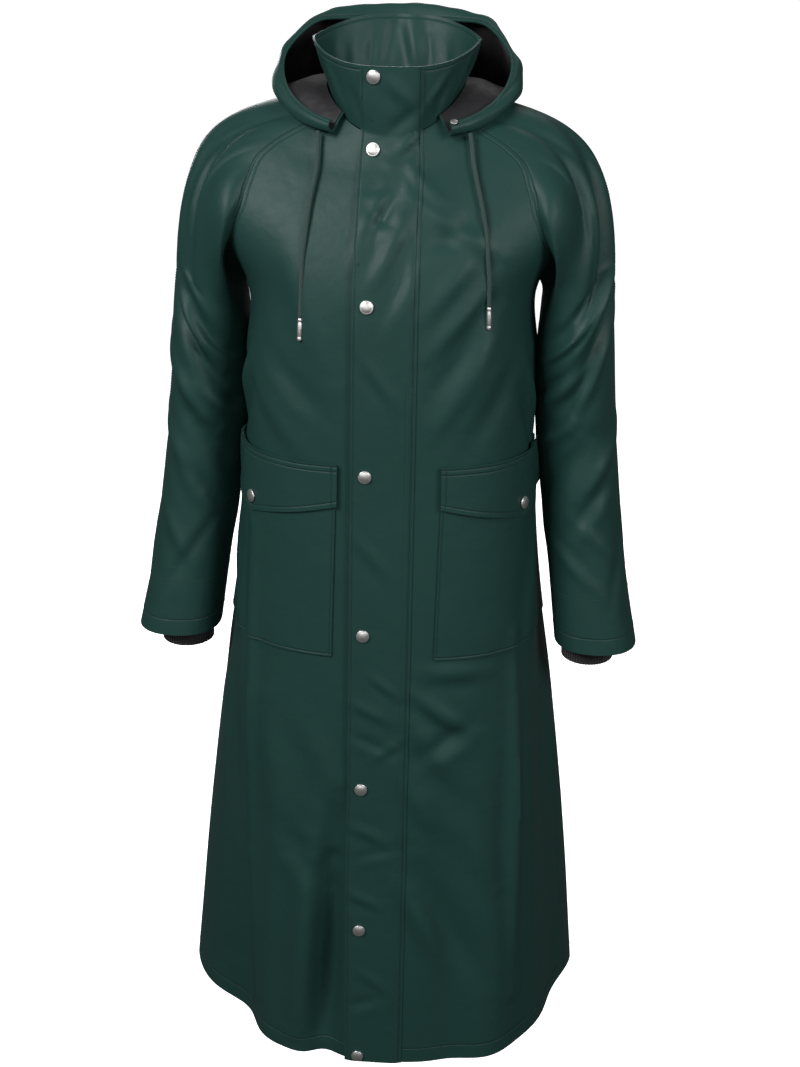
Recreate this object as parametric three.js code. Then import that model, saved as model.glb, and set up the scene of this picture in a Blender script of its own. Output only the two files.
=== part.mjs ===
// A long hooded raincoat, buttoned up and filled out as if worn, with nobody in it.
// Units are millimetres, +Z is up and the coat faces -Y. The origin is the middle of the neck
// opening at the height where the shoulders carry the coat.
import * as THREE from "three";

// Cloth thickness, the gap at a seam, and the gap under a piece that lies on another
const CLOTH = 1.6;
const DOUBLE_CLOTH = 2.4;
const LINING = 1;
const SEAM = 0.5;
const LAY = 0.5;

// The body as rings from the neck seam (row 0) to the hem. A ring is a rounded oblong of its half
// width, with its own reach to the front and to the back; square 2 is an ellipse. Its height runs
// from zFront or zBack to zSide by the sine of the angle to the power rise. Rows 1 to 3 are as wide
// as the shoulders, because the sleeves carry their surface on beyond the armhole seams.
const BODY = [
  { zFront: -40, zSide: 0, zBack: 10, halfWidth: 72, front: 84, back: 58, square: 2.05, rise: 2 },
  { zFront: -70, zSide: -16, zBack: -20, halfWidth: 156, front: 92, back: 80, square: 2, rise: 6 },
  { zFront: -92, zSide: -44, zBack: -62, halfWidth: 208, front: 104, back: 98, square: 2, rise: 7 },
  { zFront: -138, zSide: -96, zBack: -125, halfWidth: 236, front: 126, back: 112, square: 2.1, rise: 7 },
  { zFront: -206, zSide: -206, zBack: -206, halfWidth: 165, front: 146, back: 121, square: 2.6, rise: 7 },
  { zFront: -300, zSide: -300, zBack: -300, halfWidth: 163, front: 151, back: 120, square: 2.8, rise: 5 },
  { zFront: -420, zSide: -420, zBack: -420, halfWidth: 165, front: 152, back: 123, square: 2.8, rise: 5 },
  { zFront: -560, zSide: -560, zBack: -560, halfWidth: 179, front: 157, back: 131, square: 2.7, rise: 5 },
  { zFront: -715, zSide: -715, zBack: -715, halfWidth: 198, front: 163, back: 142, square: 2.6, rise: 5 },
  { zFront: -875, zSide: -870, zBack: -875, halfWidth: 213, front: 169, back: 153, square: 2.5, rise: 5 },
  { zFront: -1030, zSide: -1016, zBack: -1032, halfWidth: 227, front: 174, back: 162, square: 2.4, rise: 5 },
  { zFront: -1175, zSide: -1148, zBack: -1180, halfWidth: 240, front: 179, back: 169, square: 2.3, rise: 5 },
];
const HEM = BODY.length - 1;
const UNDERARM = 4;

// The armhole seam from the neck to the underarm, one row for each half row of BODY, in degrees
// round from the centre front.
const ARMHOLE = [
  { front: 52, back: 132 },
  { front: 58, back: 128 },
  { front: 62, back: 124 },
  { front: 63, back: 121 },
  { front: 63, back: 119 },
  { front: 61, back: 117 },
  { front: 60, back: 116 },
  { front: 66, back: 111 },
  { front: 90, back: 90 },
];

// The hanging folds of the skirt. A fold grows from its top to its full depth and leans by so many
// degrees on the way; a positive angle is on the +X side, and a negative depth is a hollow.
const DRAPES = [
  { angle: -59, lean: 0, width: 12, depth: -30, top: -560, full: -1220 },
  { angle: -92, lean: -2, width: 14, depth: 14, top: -430, full: -1000 },
  { angle: 43, lean: 0, width: 10, depth: 10, top: -620, full: -1150 },
  { angle: 78, lean: 0, width: 11, depth: -10, top: -460, full: -1000 },
  { angle: 99, lean: 2, width: 13, depth: 17, top: -430, full: -1050 },
  { angle: -19, lean: 1, width: 8, depth: -9, top: -800, full: -1130 },
  { angle: 24, lean: 8, width: 8, depth: -5, top: -680, full: -1050 },
  { angle: 120, lean: 2, width: 9, depth: -9, top: -460, full: -1000 },
  { angle: 142, lean: 3, width: 10, depth: 9, top: -380, full: -1000 },
  { angle: 163, lean: 4, width: 9, depth: -8, top: -450, full: -1050 },
  { angle: -170, lean: -3, width: 10, depth: 7, top: -420, full: -1000 },
  { angle: -146, lean: -2, width: 10, depth: -10, top: -400, full: -1000 },
  { angle: -121, lean: 2, width: 10, depth: 6, top: -520, full: -1050 },
];

// The arm from the upper arm (row 0) to the cuff edge: the lines of its outer side and of its side
// next to the body, the middle of its depth and half that depth.
const ARM = [
  { outerX: 250, outerZ: -178, innerX: 171, innerZ: -254, middleY: 2, halfDepth: 77, square: 2.1 },
  { outerX: 255, outerZ: -250, innerX: 171, innerZ: -292, middleY: 3, halfDepth: 76, square: 2.1 },
  { outerX: 261, outerZ: -330, innerX: 172, innerZ: -346, middleY: 5, halfDepth: 72, square: 2.1 },
  { outerX: 268, outerZ: -405, innerX: 177, innerZ: -408, middleY: 3, halfDepth: 67, square: 2.1 },
  { outerX: 277, outerZ: -482, innerX: 185, innerZ: -484, middleY: -5, halfDepth: 62, square: 2.1 },
  { outerX: 288, outerZ: -560, innerX: 195, innerZ: -560, middleY: -16, halfDepth: 58, square: 2.2 },
  { outerX: 304, outerZ: -640, innerX: 205, innerZ: -640, middleY: -28, halfDepth: 54, square: 2.3 },
];
const WRIST = ARM.length - 1;

// The folds that the hanging arms pull into the sleeves, from a start to an end. Places are given
// round the sleeve (see sleevePoint) and down it, with half width and depth in millimetres.
const SLEEVE_FOLDS = {
  left: [
    { round: 0.92, down: 0.5, toRound: 0.2, toDown: 1.5, width: 16, depth: -12 },
    { round: 0.72, down: 0.45, toRound: 0.22, toDown: 0.75, width: 14, depth: -7 },
    { round: 0.86, down: 1.2, toRound: 0.3, toDown: 3.4, width: 18, depth: -10 },
    { round: 0.6, down: 3.6, toRound: 0.12, toDown: 4.6, width: 18, depth: -7 },
    { round: 1.25, down: 0.7, toRound: 1.75, toDown: 1.8, width: 18, depth: -9 },
    { round: 1.2, down: 2.2, toRound: 1.7, toDown: 3.8, width: 18, depth: -8 },
  ],
  right: [
    { round: 0.8, down: 0.35, toRound: 0.35, toDown: 1.1, width: 15, depth: -10 },
    { round: 0.93, down: 0.8, toRound: 0.2, toDown: 3.1, width: 18, depth: -11 },
    { round: 0.6, down: 1.2, toRound: 0.14, toDown: 2.0, width: 15, depth: -8 },
    { round: 0.55, down: 3.4, toRound: 0.1, toDown: 4.5, width: 18, depth: -6 },
    { round: 1.2, down: 0.9, toRound: 1.75, toDown: 2.0, width: 18, depth: -9 },
    { round: 1.3, down: 2.6, toRound: 1.75, toDown: 3.9, width: 18, depth: -7 },
  ],
};
const FOLD_REACH_ROUND = 170;
const FOLD_REACH_DOWN = 82;
const FOLD_FADE = { ends: 0.08, power: 0.6 };
const FOLDS_BEGIN = { none: 0.1, full: 0.5 };
const FOLDS_END = 1.2;

// Collar rings, from the neck seam to the free edge
const COLLAR = [
  { zFront: -40, zSide: 0, zBack: 10, halfWidth: 72, front: 84, back: 58, square: 2.05, rise: 2 },
  { zFront: -4, zSide: 28, zBack: 42, halfWidth: 83, front: 89, back: 67, square: 2.05, rise: 2 },
  { zFront: 33, zSide: 54, zBack: 73, halfWidth: 92, front: 92, back: 76, square: 2.05, rise: 2 },
];
const COLLAR_EDGE = COLLAR.length - 1;
const COLLAR_COLUMNS = 26;

// The storm placket, which is stitched down on the +X side and snaps shut near its free edge. Just
// under the neck seam one row of it bridges the crease there.
const PLACKET_BRIDGE = 0.3;
const PLACKET = { free: -33, stitched: 38, lift: 2.5, liftFrom: 0.5, liftTo: 3 };
const SNAP_X = -17;
const SNAP_HEIGHTS = [20, -54, -210, -400, -591, -788, -982, -1166];
const SNAP_RADIUS = 7.5;
const SNAP_HEIGHT = 3.4;
const SNAP_RIM = 0.9;
const SNAP_BEVEL = 0.6;
const SNAP_SIDES = 12;

// Pockets: the front edge at the mouth and at the bottom, and the width along the cloth
const POCKETS = [
  { name: "left", side: 1, edgeTop: 71, edgeBottom: 66, width: 205 },
  { name: "right", side: -1, edgeTop: 50, edgeBottom: 54, width: 215 },
];
const POCKET_TOP = -396;
const POCKET_BOTTOM = -620;
const FLAP_TOP = -387;
const FLAP_END = -437;
const FLAP_POINT = -462;
const FLAP_SNAP = -445;
const FLAP_SPARE = 0.012;
// The front is flatter than an ellipse, so an angle on it spans more cloth by this much radius.
const FLAT_FRONT = 10;

// The hood hangs back round the collar as an open pouch. Each row is a section at an angle from the
// centre front, as [distance out from the neck's axis, height]: its opening edge, its roll, its
// widest line, its lowest line, and the layer that lies on the coat, which ends at the neck seam.
const HOOD = [
  { angle: 38, edge: [102, -24], roll: [105, -26], wide: [107, -31],
    low: [104, -37], lay: [97, -36], rise: [90, -27] },
  { angle: 60, edge: [111, -13], roll: [115, -14], wide: [119, -20],
    low: [117, -29], lay: [106, -27], rise: [91, -12] },
  { angle: 80, edge: [121, 7], roll: [127, 6], wide: [134, -1],
    low: [131, -9], lay: [114, -4], rise: [95, 4] },
  { angle: 100, edge: [125, 36], roll: [132, 34], wide: [139, 18],
    low: [138, -4], lay: [116, 0], rise: [95, 7] },
  { angle: 120, edge: [110, 64], roll: [119, 67], wide: [133, 42],
    low: [143, -10], lay: [124, -12], rise: [99, 5] },
  { angle: 140, edge: [97, 67], roll: [110, 78], wide: [127, 50],
    low: [147, -30], lay: [127, -46], rise: [101, -4] },
  { angle: 160, edge: [90, 67], roll: [103, 82], wide: [123, 52],
    low: [151, -60], lay: [124, -88], rise: [102, -32] },
  { angle: 180, edge: [88, 67], roll: [100, 83], wide: [121, 52],
    low: [153, -75], lay: [124, -108], rise: [102, -40] },
];
const HOOD_LINES = ["edge", "roll", "wide", "low", "lay", "rise"];
const HOOD_NECK = 0.22;
const HOOD_COLUMNS = 28;
const HOOD_ALONGS = [0, 0.7, 1.4, 2.1, 2.7, 3.2, 3.7, 4.3, 5.1, 6];
const HOOD_SEAM_TURN = 0.003;
const LINING_INSET = { under: 0.5, angle: 0.02, edge: 0.15, neck: 0.03 };

// Draw cords out of the hood's front corners
const CORD_RADIUS = 2.2;
const CORD_SIDES = 8;
const CORD_STEPS = 22;
const TIP_LENGTH = 25;
const TIP_RADIUS = 2.7;
const TIP_BEVEL = 0.5;
const TIP_SIDES = 10;
const CORD_ROUTES = {
  left: [
    [85.5, -71.5, -36], [87.5, -76.5, -46], [89.5, -84.5, -60], [93, -93, -75], [97, -101, -90],
    [101, -107.5, -104], [104, -112.5, -117], [107, -116.5, -130], [108.8, -119.8, -143],
    [109.8, -122.9, -156], [111.3, -124.6, -170], [112.4, -125.4, -184], [112.7, -125.8, -197],
    [113, -126.1, -210],
  ],
  right: [
    [-78, -75, -37.2], [-77.5, -79.5, -47], [-77, -84.5, -57], [-77, -90.5, -68], [-78, -97.5, -80],
    [-80, -103.8, -92], [-82, -109.8, -105], [-83.5, -115.7, -118], [-85, -120.9, -132],
    [-86.5, -125.3, -146], [-88, -129.3, -160], [-88.5, -132.7, -175], [-89, -135.2, -190],
    [-89.5, -137.1, -208], [-90, -138.6, -226],
  ],
};

// Rib-knit storm cuffs, sewn in above the sleeve hem
const CUFF_SEAM = 5.45;
const CUFF_ROWS = [0, 0.5, 0.98, 2];
const CUFF = { x: 246, y: -30, radius: 31, deep: 33, top: -632, end: -662, wall: 2, ribs: 20, rib: 0.9 };

const COAT_CLOTH = new THREE.MeshStandardMaterial({ color: 0x17382f, roughness: 0.5 });
const HOOD_CLOTH = new THREE.MeshStandardMaterial({ color: 0x131214, roughness: 0.8 });
const RIB_KNIT = new THREE.MeshStandardMaterial({ color: 0x0d0d0e, roughness: 0.95 });
const SNAP_METAL = new THREE.MeshStandardMaterial({ color: 0xc4c2bf, roughness: 0.3, metalness: 1 });
const CORD_YARN = new THREE.MeshStandardMaterial({ color: 0x1a3b31, roughness: 0.8 });

const { clamp, degToRad, lerp: mix, radToDeg, smoothstep } = THREE.MathUtils;
const steps = (from, to, count) => Array.from({ length: count + 1 }, (_, k) => mix(from, to, k / count));

// A value between four even steps of a row: the Catmull-Rom curve through the middle two.
function throughFour([a, b, c, d], f) {
  const bend = (3 * b - a - 3 * c + d) * f ** 3 + (2 * a - 5 * b + 4 * c - d) * f ** 2;
  return 0.5 * (bend + (c - a) * f + 2 * b);
}

// A row between the rows of a table, with each column read on its own curve.
function readTable(rows, place) {
  const from = clamp(Math.floor(place), 0, rows.length - 2);
  const near = [-1, 0, 1, 2].map((k) => rows[clamp(from + k, 0, rows.length - 1)]);
  const keys = Object.keys(rows[0]);
  const read = (key) => throughFour(near.map((row) => row[key]), place - from);
  return Object.fromEntries(keys.map((key) => [key, read(key)]));
}

// A point of a ring, at an angle from the centre front towards +X, with the cloth moved out by a bulge.
function ringPoint(ring, angle, bulge = 0) {
  const across = Math.abs(Math.sin(angle));
  const along = Math.abs(Math.cos(angle));
  const isFront = Math.cos(angle) > 0;
  const depth = isFront ? ring.front : ring.back;
  const reach = (across / ring.halfWidth) ** ring.square + (along / depth) ** ring.square;
  const radius = reach ** (-1 / ring.square) + bulge;
  const z = mix(isFront ? ring.zFront : ring.zBack, ring.zSide, across ** ring.rise);
  return new THREE.Vector3(radius * Math.sin(angle), -radius * Math.cos(angle), z);
}

// How far the hanging folds move the skirt out, at an angle and a height.
const TURN = 360;
function drape(angle, z) {
  return DRAPES.reduce((sum, fold) => {
    const grown = smoothstep(-z, -fold.top, -fold.full);
    const middle = fold.angle + fold.lean * grown;
    const off = ((radToDeg(angle) - middle + 2.5 * TURN) % TURN) - TURN / 2;
    return sum + fold.depth * grown * Math.exp(-((off / fold.width) ** 2));
  }, 0);
}

function bodyPoint(angle, row) {
  const ring = readTable(BODY, row);
  return ringPoint(ring, angle, drape(angle, ring.zFront));
}

// The row of BODY whose front is at a height, found by halving.
const HALVINGS = 24;
function rowAt(z) {
  let [above, below] = [0, HEM];
  for (let halving = 0; halving < HALVINGS; halving++) {
    const middle = (above + below) / 2;
    if (readTable(BODY, middle).zFront > z) above = middle;
    else below = middle;
  }
  return above;
}

const armholeAngle = (row, face) => degToRad(readTable(ARMHOLE, Math.min(row, UNDERARM) * 2)[face]);

// The sleeve's start. Going round, 0 is the underarm, then comes the front seam, the neck seam
// from NECK_CORNER to 2 - NECK_CORNER, and the back seam to the underarm again at 2.
const SEAM_STEPS = 8;
const NECK_STEPS = 3;
const NECK_CORNER = SEAM_STEPS / (SEAM_STEPS + NECK_STEPS);
function armholePlace(round) {
  const face = round <= 1 ? "front" : "back";
  const climb = Math.min(round, 2 - round);
  if (climb < NECK_CORNER) {
    const row = UNDERARM * (1 - climb / NECK_CORNER);
    return { row, angle: armholeAngle(row, face) };
  }
  const share = (climb - NECK_CORNER) / (1 - NECK_CORNER);
  return { row: 0, angle: mix(armholeAngle(0, face), Math.PI / 2, share) };
}

const NUDGE = 1e-3;

// The outward normal of a surface whose first parameter runs towards +X at the front and whose
// second runs down, from its points a reach away. On a mirrored surface the side is -1.
function normalAt(point, across, down, side = 1, reach = { across: NUDGE, down: NUDGE }) {
  const alongAcross = point(across + reach.across, down).sub(point(across - reach.across, down));
  const alongDown = point(across, down + reach.down).sub(point(across, down - reach.down));
  return alongDown.cross(alongAcross).normalize().multiplyScalar(side);
}

const armholePoint = (round) => {
  const place = armholePlace(round);
  return bodyPoint(place.angle, place.row);
};
const armholeNormal = (round) => {
  const place = armholePlace(round);
  return normalAt(bodyPoint, place.angle, Math.max(place.row, 2 * NUDGE));
};

// The direction in which the sleeve leaves the seam: sideways along the body's surface over the
// shoulder, and turned out and down from it under the arm.
const UNDERARM_TURN = 125;
const UNDERARM_SHARE = 0.45;
const SHOULDER_REACH = 1.6;
function armholeOnward(round) {
  const seam = armholePoint(round + NUDGE).sub(armholePoint(round - NUDGE));
  return seam.cross(armholeNormal(round)).normalize();
}
function leaveDirection(round) {
  const normal = armholeNormal(round);
  const turn = degToRad(UNDERARM_TURN) * (1 - smoothstep(Math.min(round, 2 - round), 0, UNDERARM_SHARE));
  const sideways = new THREE.Vector3(1, 0, 0).addScaledVector(normal, -normal.x).normalize();
  return sideways.multiplyScalar(Math.cos(turn)).addScaledVector(normal, Math.sin(turn));
}

// Going round the arm from its body side (0) over the front to its outer side (1) and the back. At
// the top the places crowd towards the outer side, as those of the armhole do.
const CROWD = { power: 0.55, until: 2 };
function armPoint(round, row) {
  const arm = readTable(ARM, row);
  const aside = ((round + 3) % 2) - 1;
  const climb = Math.abs(aside);
  const turn = mix(climb ** CROWD.power, climb, smoothstep(row, 0, CROWD.until)) * Math.PI;
  const inward = Math.cos(turn);
  const forward = Math.sign(aside) * Math.sin(turn);
  const radius = (Math.abs(inward) ** arm.square + Math.abs(forward) ** arm.square) ** (-1 / arm.square);
  const share = (1 + inward * radius) / 2;
  return new THREE.Vector3(
    mix(arm.outerX, arm.innerX, share),
    arm.middleY - arm.halfDepth * forward * radius,
    mix(arm.outerZ, arm.innerZ, share),
  );
}

// The smooth sleeve of the +X arm. Going down, 0 is the armhole, 1 the top of ARM and 1 + WRIST the
// cuff edge. Above 1 it is the Hermite curve between the armhole and the arm.
function smoothSleeve(round, down) {
  if (down >= 1) return armPoint(round, down - 1);
  const wrapped = (round + 2) % 2;
  const start = armholePoint(wrapped).addScaledVector(armholeOnward(wrapped), SEAM / 2);
  const end = armPoint(wrapped, 0);
  const top = Math.sin((Math.PI * wrapped) / 2) ** 2;
  const reach = start.distanceTo(end) * mix(1, SHOULDER_REACH, top);
  const arrive = armPoint(wrapped, NUDGE).sub(end).normalize();
  return new THREE.Vector3()
    .addScaledVector(start, 2 * down ** 3 - 3 * down ** 2 + 1)
    .addScaledVector(leaveDirection(wrapped), reach * (down ** 3 - 2 * down ** 2 + down))
    .addScaledVector(end, 3 * down ** 2 - 2 * down ** 3)
    .addScaledVector(arrive, reach * (down ** 3 - down ** 2));
}

// How far a list of folds moves the sleeve out: each is a soft trough round its own line, and
// fades out at both of its ends.
function sleeveFold(folds, round, down) {
  return folds.reduce((sum, fold) => {
    const runX = (fold.toRound - fold.round) * FOLD_REACH_ROUND;
    const runY = (fold.toDown - fold.down) * FOLD_REACH_DOWN;
    const x = (round - fold.round) * FOLD_REACH_ROUND;
    const y = (down - fold.down) * FOLD_REACH_DOWN;
    const length = Math.hypot(runX, runY);
    const along = (x * runX + y * runY) / length;
    const off = (x * runY - y * runX) / length;
    const past = Math.max(0, -along, along - length);
    const share = clamp(along / length, FOLD_FADE.ends, 1 - FOLD_FADE.ends);
    const fade = Math.sin(Math.PI * share) ** FOLD_FADE.power;
    return sum + fold.depth * fade * Math.exp(-(off ** 2 + past ** 2) / fold.width ** 2);
  }, 0);
}

// The sleeve with its folds, on the +X side.
const sleevePoint = (folds) => (round, down) => {
  const at = smoothSleeve(round, down);
  const begun = smoothstep(down, FOLDS_BEGIN.none, FOLDS_BEGIN.full);
  const kept = 1 - smoothstep(down, 1 + WRIST - FOLDS_END, 1 + WRIST);
  const out = begun * kept * sleeveFold(folds, round, down);
  return at.addScaledVector(normalAt(smoothSleeve, round, down), out);
};

const mirrored = (point, side) => (across, down) =>
  point(across, down).multiply(new THREE.Vector3(side, 1, 1));

// The same surface, moved out.
const moved = (point, distance, side = 1) => (across, down) =>
  point(across, down).addScaledVector(normalAt(point, across, down, side), distance);

// A closed cloth wall whose outer face is the surface at each pair of an across and a down value.
// normal may replace the surface's own, and ribs may move the outer face's points.
function wall(point, acrossValues, downValues, thick, options = {}) {
  const { side = 1, closed = false, raise = () => 0 } = options;
  const normal = options.normal ?? ((across, down) => normalAt(point, across, down, side));
  const columns = acrossValues.length;
  const rows = downValues.length;
  const positions = [];
  for (const isInner of [false, true]) {
    for (const down of downValues) {
      acrossValues.forEach((across, column) => {
        const depth = isInner ? -thick : raise(column);
        const at = point(across, down).addScaledVector(normal(across, down), depth);
        positions.push(...at.toArray());
      });
    }
  }
  const at = (layer, row, column) => (layer * rows + row) * columns + (column % columns);
  const indices = [];
  const quad = (a, b, c, d) => indices.push(...(side > 0 ? [a, b, c, a, c, d] : [a, c, b, a, d, c]));
  const spans = closed ? columns : columns - 1;
  for (let column = 0; column < spans; column++) {
    for (let row = 0; row < rows - 1; row++) {
      quad(at(0, row, column), at(0, row + 1, column), at(0, row + 1, column + 1), at(0, row, column + 1));
      quad(at(1, row, column), at(1, row, column + 1), at(1, row + 1, column + 1), at(1, row + 1, column));
    }
    quad(at(0, 0, column), at(0, 0, column + 1), at(1, 0, column + 1), at(1, 0, column));
    const end = rows - 1;
    quad(at(0, end, column + 1), at(0, end, column), at(1, end, column), at(1, end, column + 1));
  }
  for (let row = 0; row < rows - 1 && !closed; row++) {
    quad(at(0, row + 1, 0), at(0, row, 0), at(1, row, 0), at(1, row + 1, 0));
    const edge = columns - 1;
    quad(at(0, row, edge), at(0, row + 1, edge), at(1, row + 1, edge), at(1, row, edge));
  }
  const geometry = new THREE.BufferGeometry();
  geometry.setAttribute("position", new THREE.Float32BufferAttribute(positions, 3));
  geometry.setIndex(indices);
  geometry.computeVertexNormals();
  return geometry;
}

const raincoat = new THREE.Group();
function addPiece(name, geometry, material) {
  const mesh = new THREE.Mesh(geometry, material.clone());
  mesh.name = name;
  raincoat.add(mesh);
  return mesh;
}

const SIDES = [
  { name: "left", side: 1 },
  { name: "right", side: -1 },
];

// Fronts and back, from the neck seam and the armhole seams down to the hem
const NECK_GAP = 0.008;
const POCKET_ROWS = steps(rowAt(POCKET_TOP), rowAt(POCKET_BOTTOM), 3);
const SKIRT_ROWS = steps(rowAt(POCKET_BOTTOM), HEM, 7).slice(1);
const ARMHOLE_ROWS = [...steps(0.5, UNDERARM - 0.5, 6), UNDERARM - 0.25, UNDERARM];
const PANEL_ROWS = [NECK_GAP, ...ARMHOLE_ROWS, 4.5, 5.1, ...POCKET_ROWS, ...SKIRT_ROWS];
const PANEL_COLUMNS = 9;
function addFront({ name, side }) {
  const point = (share, row) => {
    const ring = readTable(BODY, row);
    const centre = SEAM / 2 / ring.front;
    const edge = armholeAngle(row, "front") - SEAM / 2 / ring.halfWidth;
    return bodyPoint(side * mix(centre, edge, share), row);
  };
  const geometry = wall(point, steps(0, 1, PANEL_COLUMNS), PANEL_ROWS, CLOTH, { side });
  addPiece("front_" + name, geometry, COAT_CLOTH);
}
function addBack() {
  const point = (share, row) => {
    const reach = Math.PI - armholeAngle(row, "back") - SEAM / 2 / readTable(BODY, row).halfWidth;
    return bodyPoint(Math.PI + share * reach, row);
  };
  addPiece("back", wall(point, steps(-1, 1, 2 * PANEL_COLUMNS), PANEL_ROWS, CLOTH), COAT_CLOTH);
}

// Sleeves, each a front half and a back half that meet at the top and underarm seams
const SLEEVE_ROWS = [0, ...steps(0.14, 1, 5), ...steps(1.4, 1 + WRIST, 14)];
const SLEEVE_CELL = { across: 1 / (SEAM_STEPS + NECK_STEPS), down: 0.3 };
const UNDERARM_ROUND = SLEEVE_CELL.across / 2;
const EVEN_ROUNDS = steps(0, 2, 2 * (SEAM_STEPS + NECK_STEPS));
const SLEEVE_ROUNDS = [UNDERARM_ROUND, ...EVEN_ROUNDS.slice(0, -1), 2 - UNDERARM_ROUND];
const SLEEVE_INSET = 0.0012;
function addSleeve({ name, side }) {
  const onRight = sleevePoint(SLEEVE_FOLDS[name]);
  const point = mirrored(onRight, side);
  const normal = (round, down) => {
    const reach = { across: SLEEVE_CELL.across, down: Math.min(SLEEVE_CELL.down, Math.max(down, NUDGE)) };
    const onRightSide = normalAt(onRight, round, Math.max(down, 2 * NUDGE), 1, reach);
    return onRightSide.multiply(new THREE.Vector3(side, 1, 1));
  };
  for (const [face, from, to] of [["front", 0, 1], ["back", 1, 2]]) {
    const rounds = between(SLEEVE_ROUNDS, from + SLEEVE_INSET, to - SLEEVE_INSET);
    const geometry = wall(point, rounds, SLEEVE_ROWS, CLOTH, { side, normal });
    addPiece("sleeve_" + face + "_" + name, geometry, COAT_CLOTH);
  }
}

// The knitted cuff leaves the sleeve's inside and narrows to the wrist, with raised ribs.
function addCuff({ name, side }) {
  const inside = moved(smoothSleeve, -CLOTH - LAY - CUFF.rib);
  const onRight = (round, down) => {
    const turn = round * Math.PI;
    const wrist = new THREE.Vector3(
      CUFF.x - CUFF.radius * Math.cos(turn),
      CUFF.y - CUFF.deep * Math.sin(turn),
      mix(CUFF.top, CUFF.end, Math.max(0, down - 1)),
    );
    const seam = inside(round, 1 + CUFF_SEAM);
    return seam.lerp(wrist, clamp(down, 0, 1));
  };
  const rounds = steps(0, 2, 2 * CUFF.ribs).slice(0, -1);
  const raise = (column) => (column % 2 ? CUFF.rib : 0);
  const options = { side, closed: true, raise };
  const geometry = wall(mirrored(onRight, side), rounds, CUFF_ROWS, CUFF.wall, options);
  addPiece("cuff_" + name, geometry, RIB_KNIT);
}

const collarPoint = (angle, height) => ringPoint(readTable(COLLAR, height), angle);

function addCollar() {
  const gap = SEAM / 2 / COLLAR[0].front;
  const point = (angle, down) => collarPoint(angle, COLLAR_EDGE - down);
  const downs = steps(0, COLLAR_EDGE - NECK_GAP, 4);
  const angles = steps(gap, 2 * Math.PI - gap, COLLAR_COLUMNS);
  addPiece("collar", wall(point, angles, downs, DOUBLE_CLOTH), COAT_CLOTH);
}

// The middle of the front from the collar's edge (-COLLAR_EDGE) over the neck seam (0) to the hem.
function frontPoint(x, row) {
  const ring = row < 0 ? readTable(COLLAR, -row) : readTable(BODY, row);
  const angle = Math.atan2(x, ring.front);
  return row < 0 ? collarPoint(angle, -row) : bodyPoint(angle, row);
}
const placketNormal = (x, row) => normalAt(frontPoint, x, row);
const placketPoint = (x, row) => {
  const lifted = PLACKET.lift * smoothstep(-x, 0, -PLACKET.free);
  const distance = LAY + DOUBLE_CLOTH + lifted * smoothstep(row, PLACKET.liftFrom, PLACKET.liftTo);
  return frontPoint(x, row).addScaledVector(placketNormal(x, row), distance);
};
function addPlacket() {
  const rows = [...steps(-COLLAR_EDGE, -0.5, 3), PLACKET_BRIDGE, ...PANEL_ROWS.slice(1)];
  const columns = steps(PLACKET.free, PLACKET.stitched, 4);
  const geometry = wall(placketPoint, columns, rows, DOUBLE_CLOTH, { normal: placketNormal });
  addPiece("placket", geometry, COAT_CLOTH);
}

// A domed snap cap: a flat back, an upright rim and an arched face.
function snapGeometry() {
  const arch = steps(0, Math.PI / 2, 3).map((turn) => {
    const height = SNAP_RIM + (SNAP_HEIGHT - SNAP_RIM) * Math.sin(turn);
    return new THREE.Vector2(SNAP_RADIUS * Math.cos(turn), height);
  });
  arch.at(-1).x = 0;
  const back = [new THREE.Vector2(0, 0), new THREE.Vector2(SNAP_RADIUS - SNAP_BEVEL, 0)];
  return new THREE.LatheGeometry([...back, ...arch], SNAP_SIDES);
}
function addSnap(name, point, across, down, side = 1) {
  const mesh = addPiece(name, snapGeometry(), SNAP_METAL);
  const normal = normalAt(point, across, down, side);
  mesh.position.copy(point(across, down)).addScaledVector(normal, LAY);
  mesh.quaternion.setFromUnitVectors(new THREE.Vector3(0, 1, 0), normal);
}

// The row of the front's middle at a height, on the collar or on the body.
function frontRowAt(z) {
  if (z < BODY[0].zFront) return rowAt(z);
  const [low, high] = [COLLAR[0].zFront, COLLAR[COLLAR_EDGE].zFront];
  return (-COLLAR_EDGE * (z - low)) / (high - low);
}

// The values from one to another, with those of a list that lie between them.
const between = (values, from, to) => [from, ...values.filter((value) => value > from && value < to), to];

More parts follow.
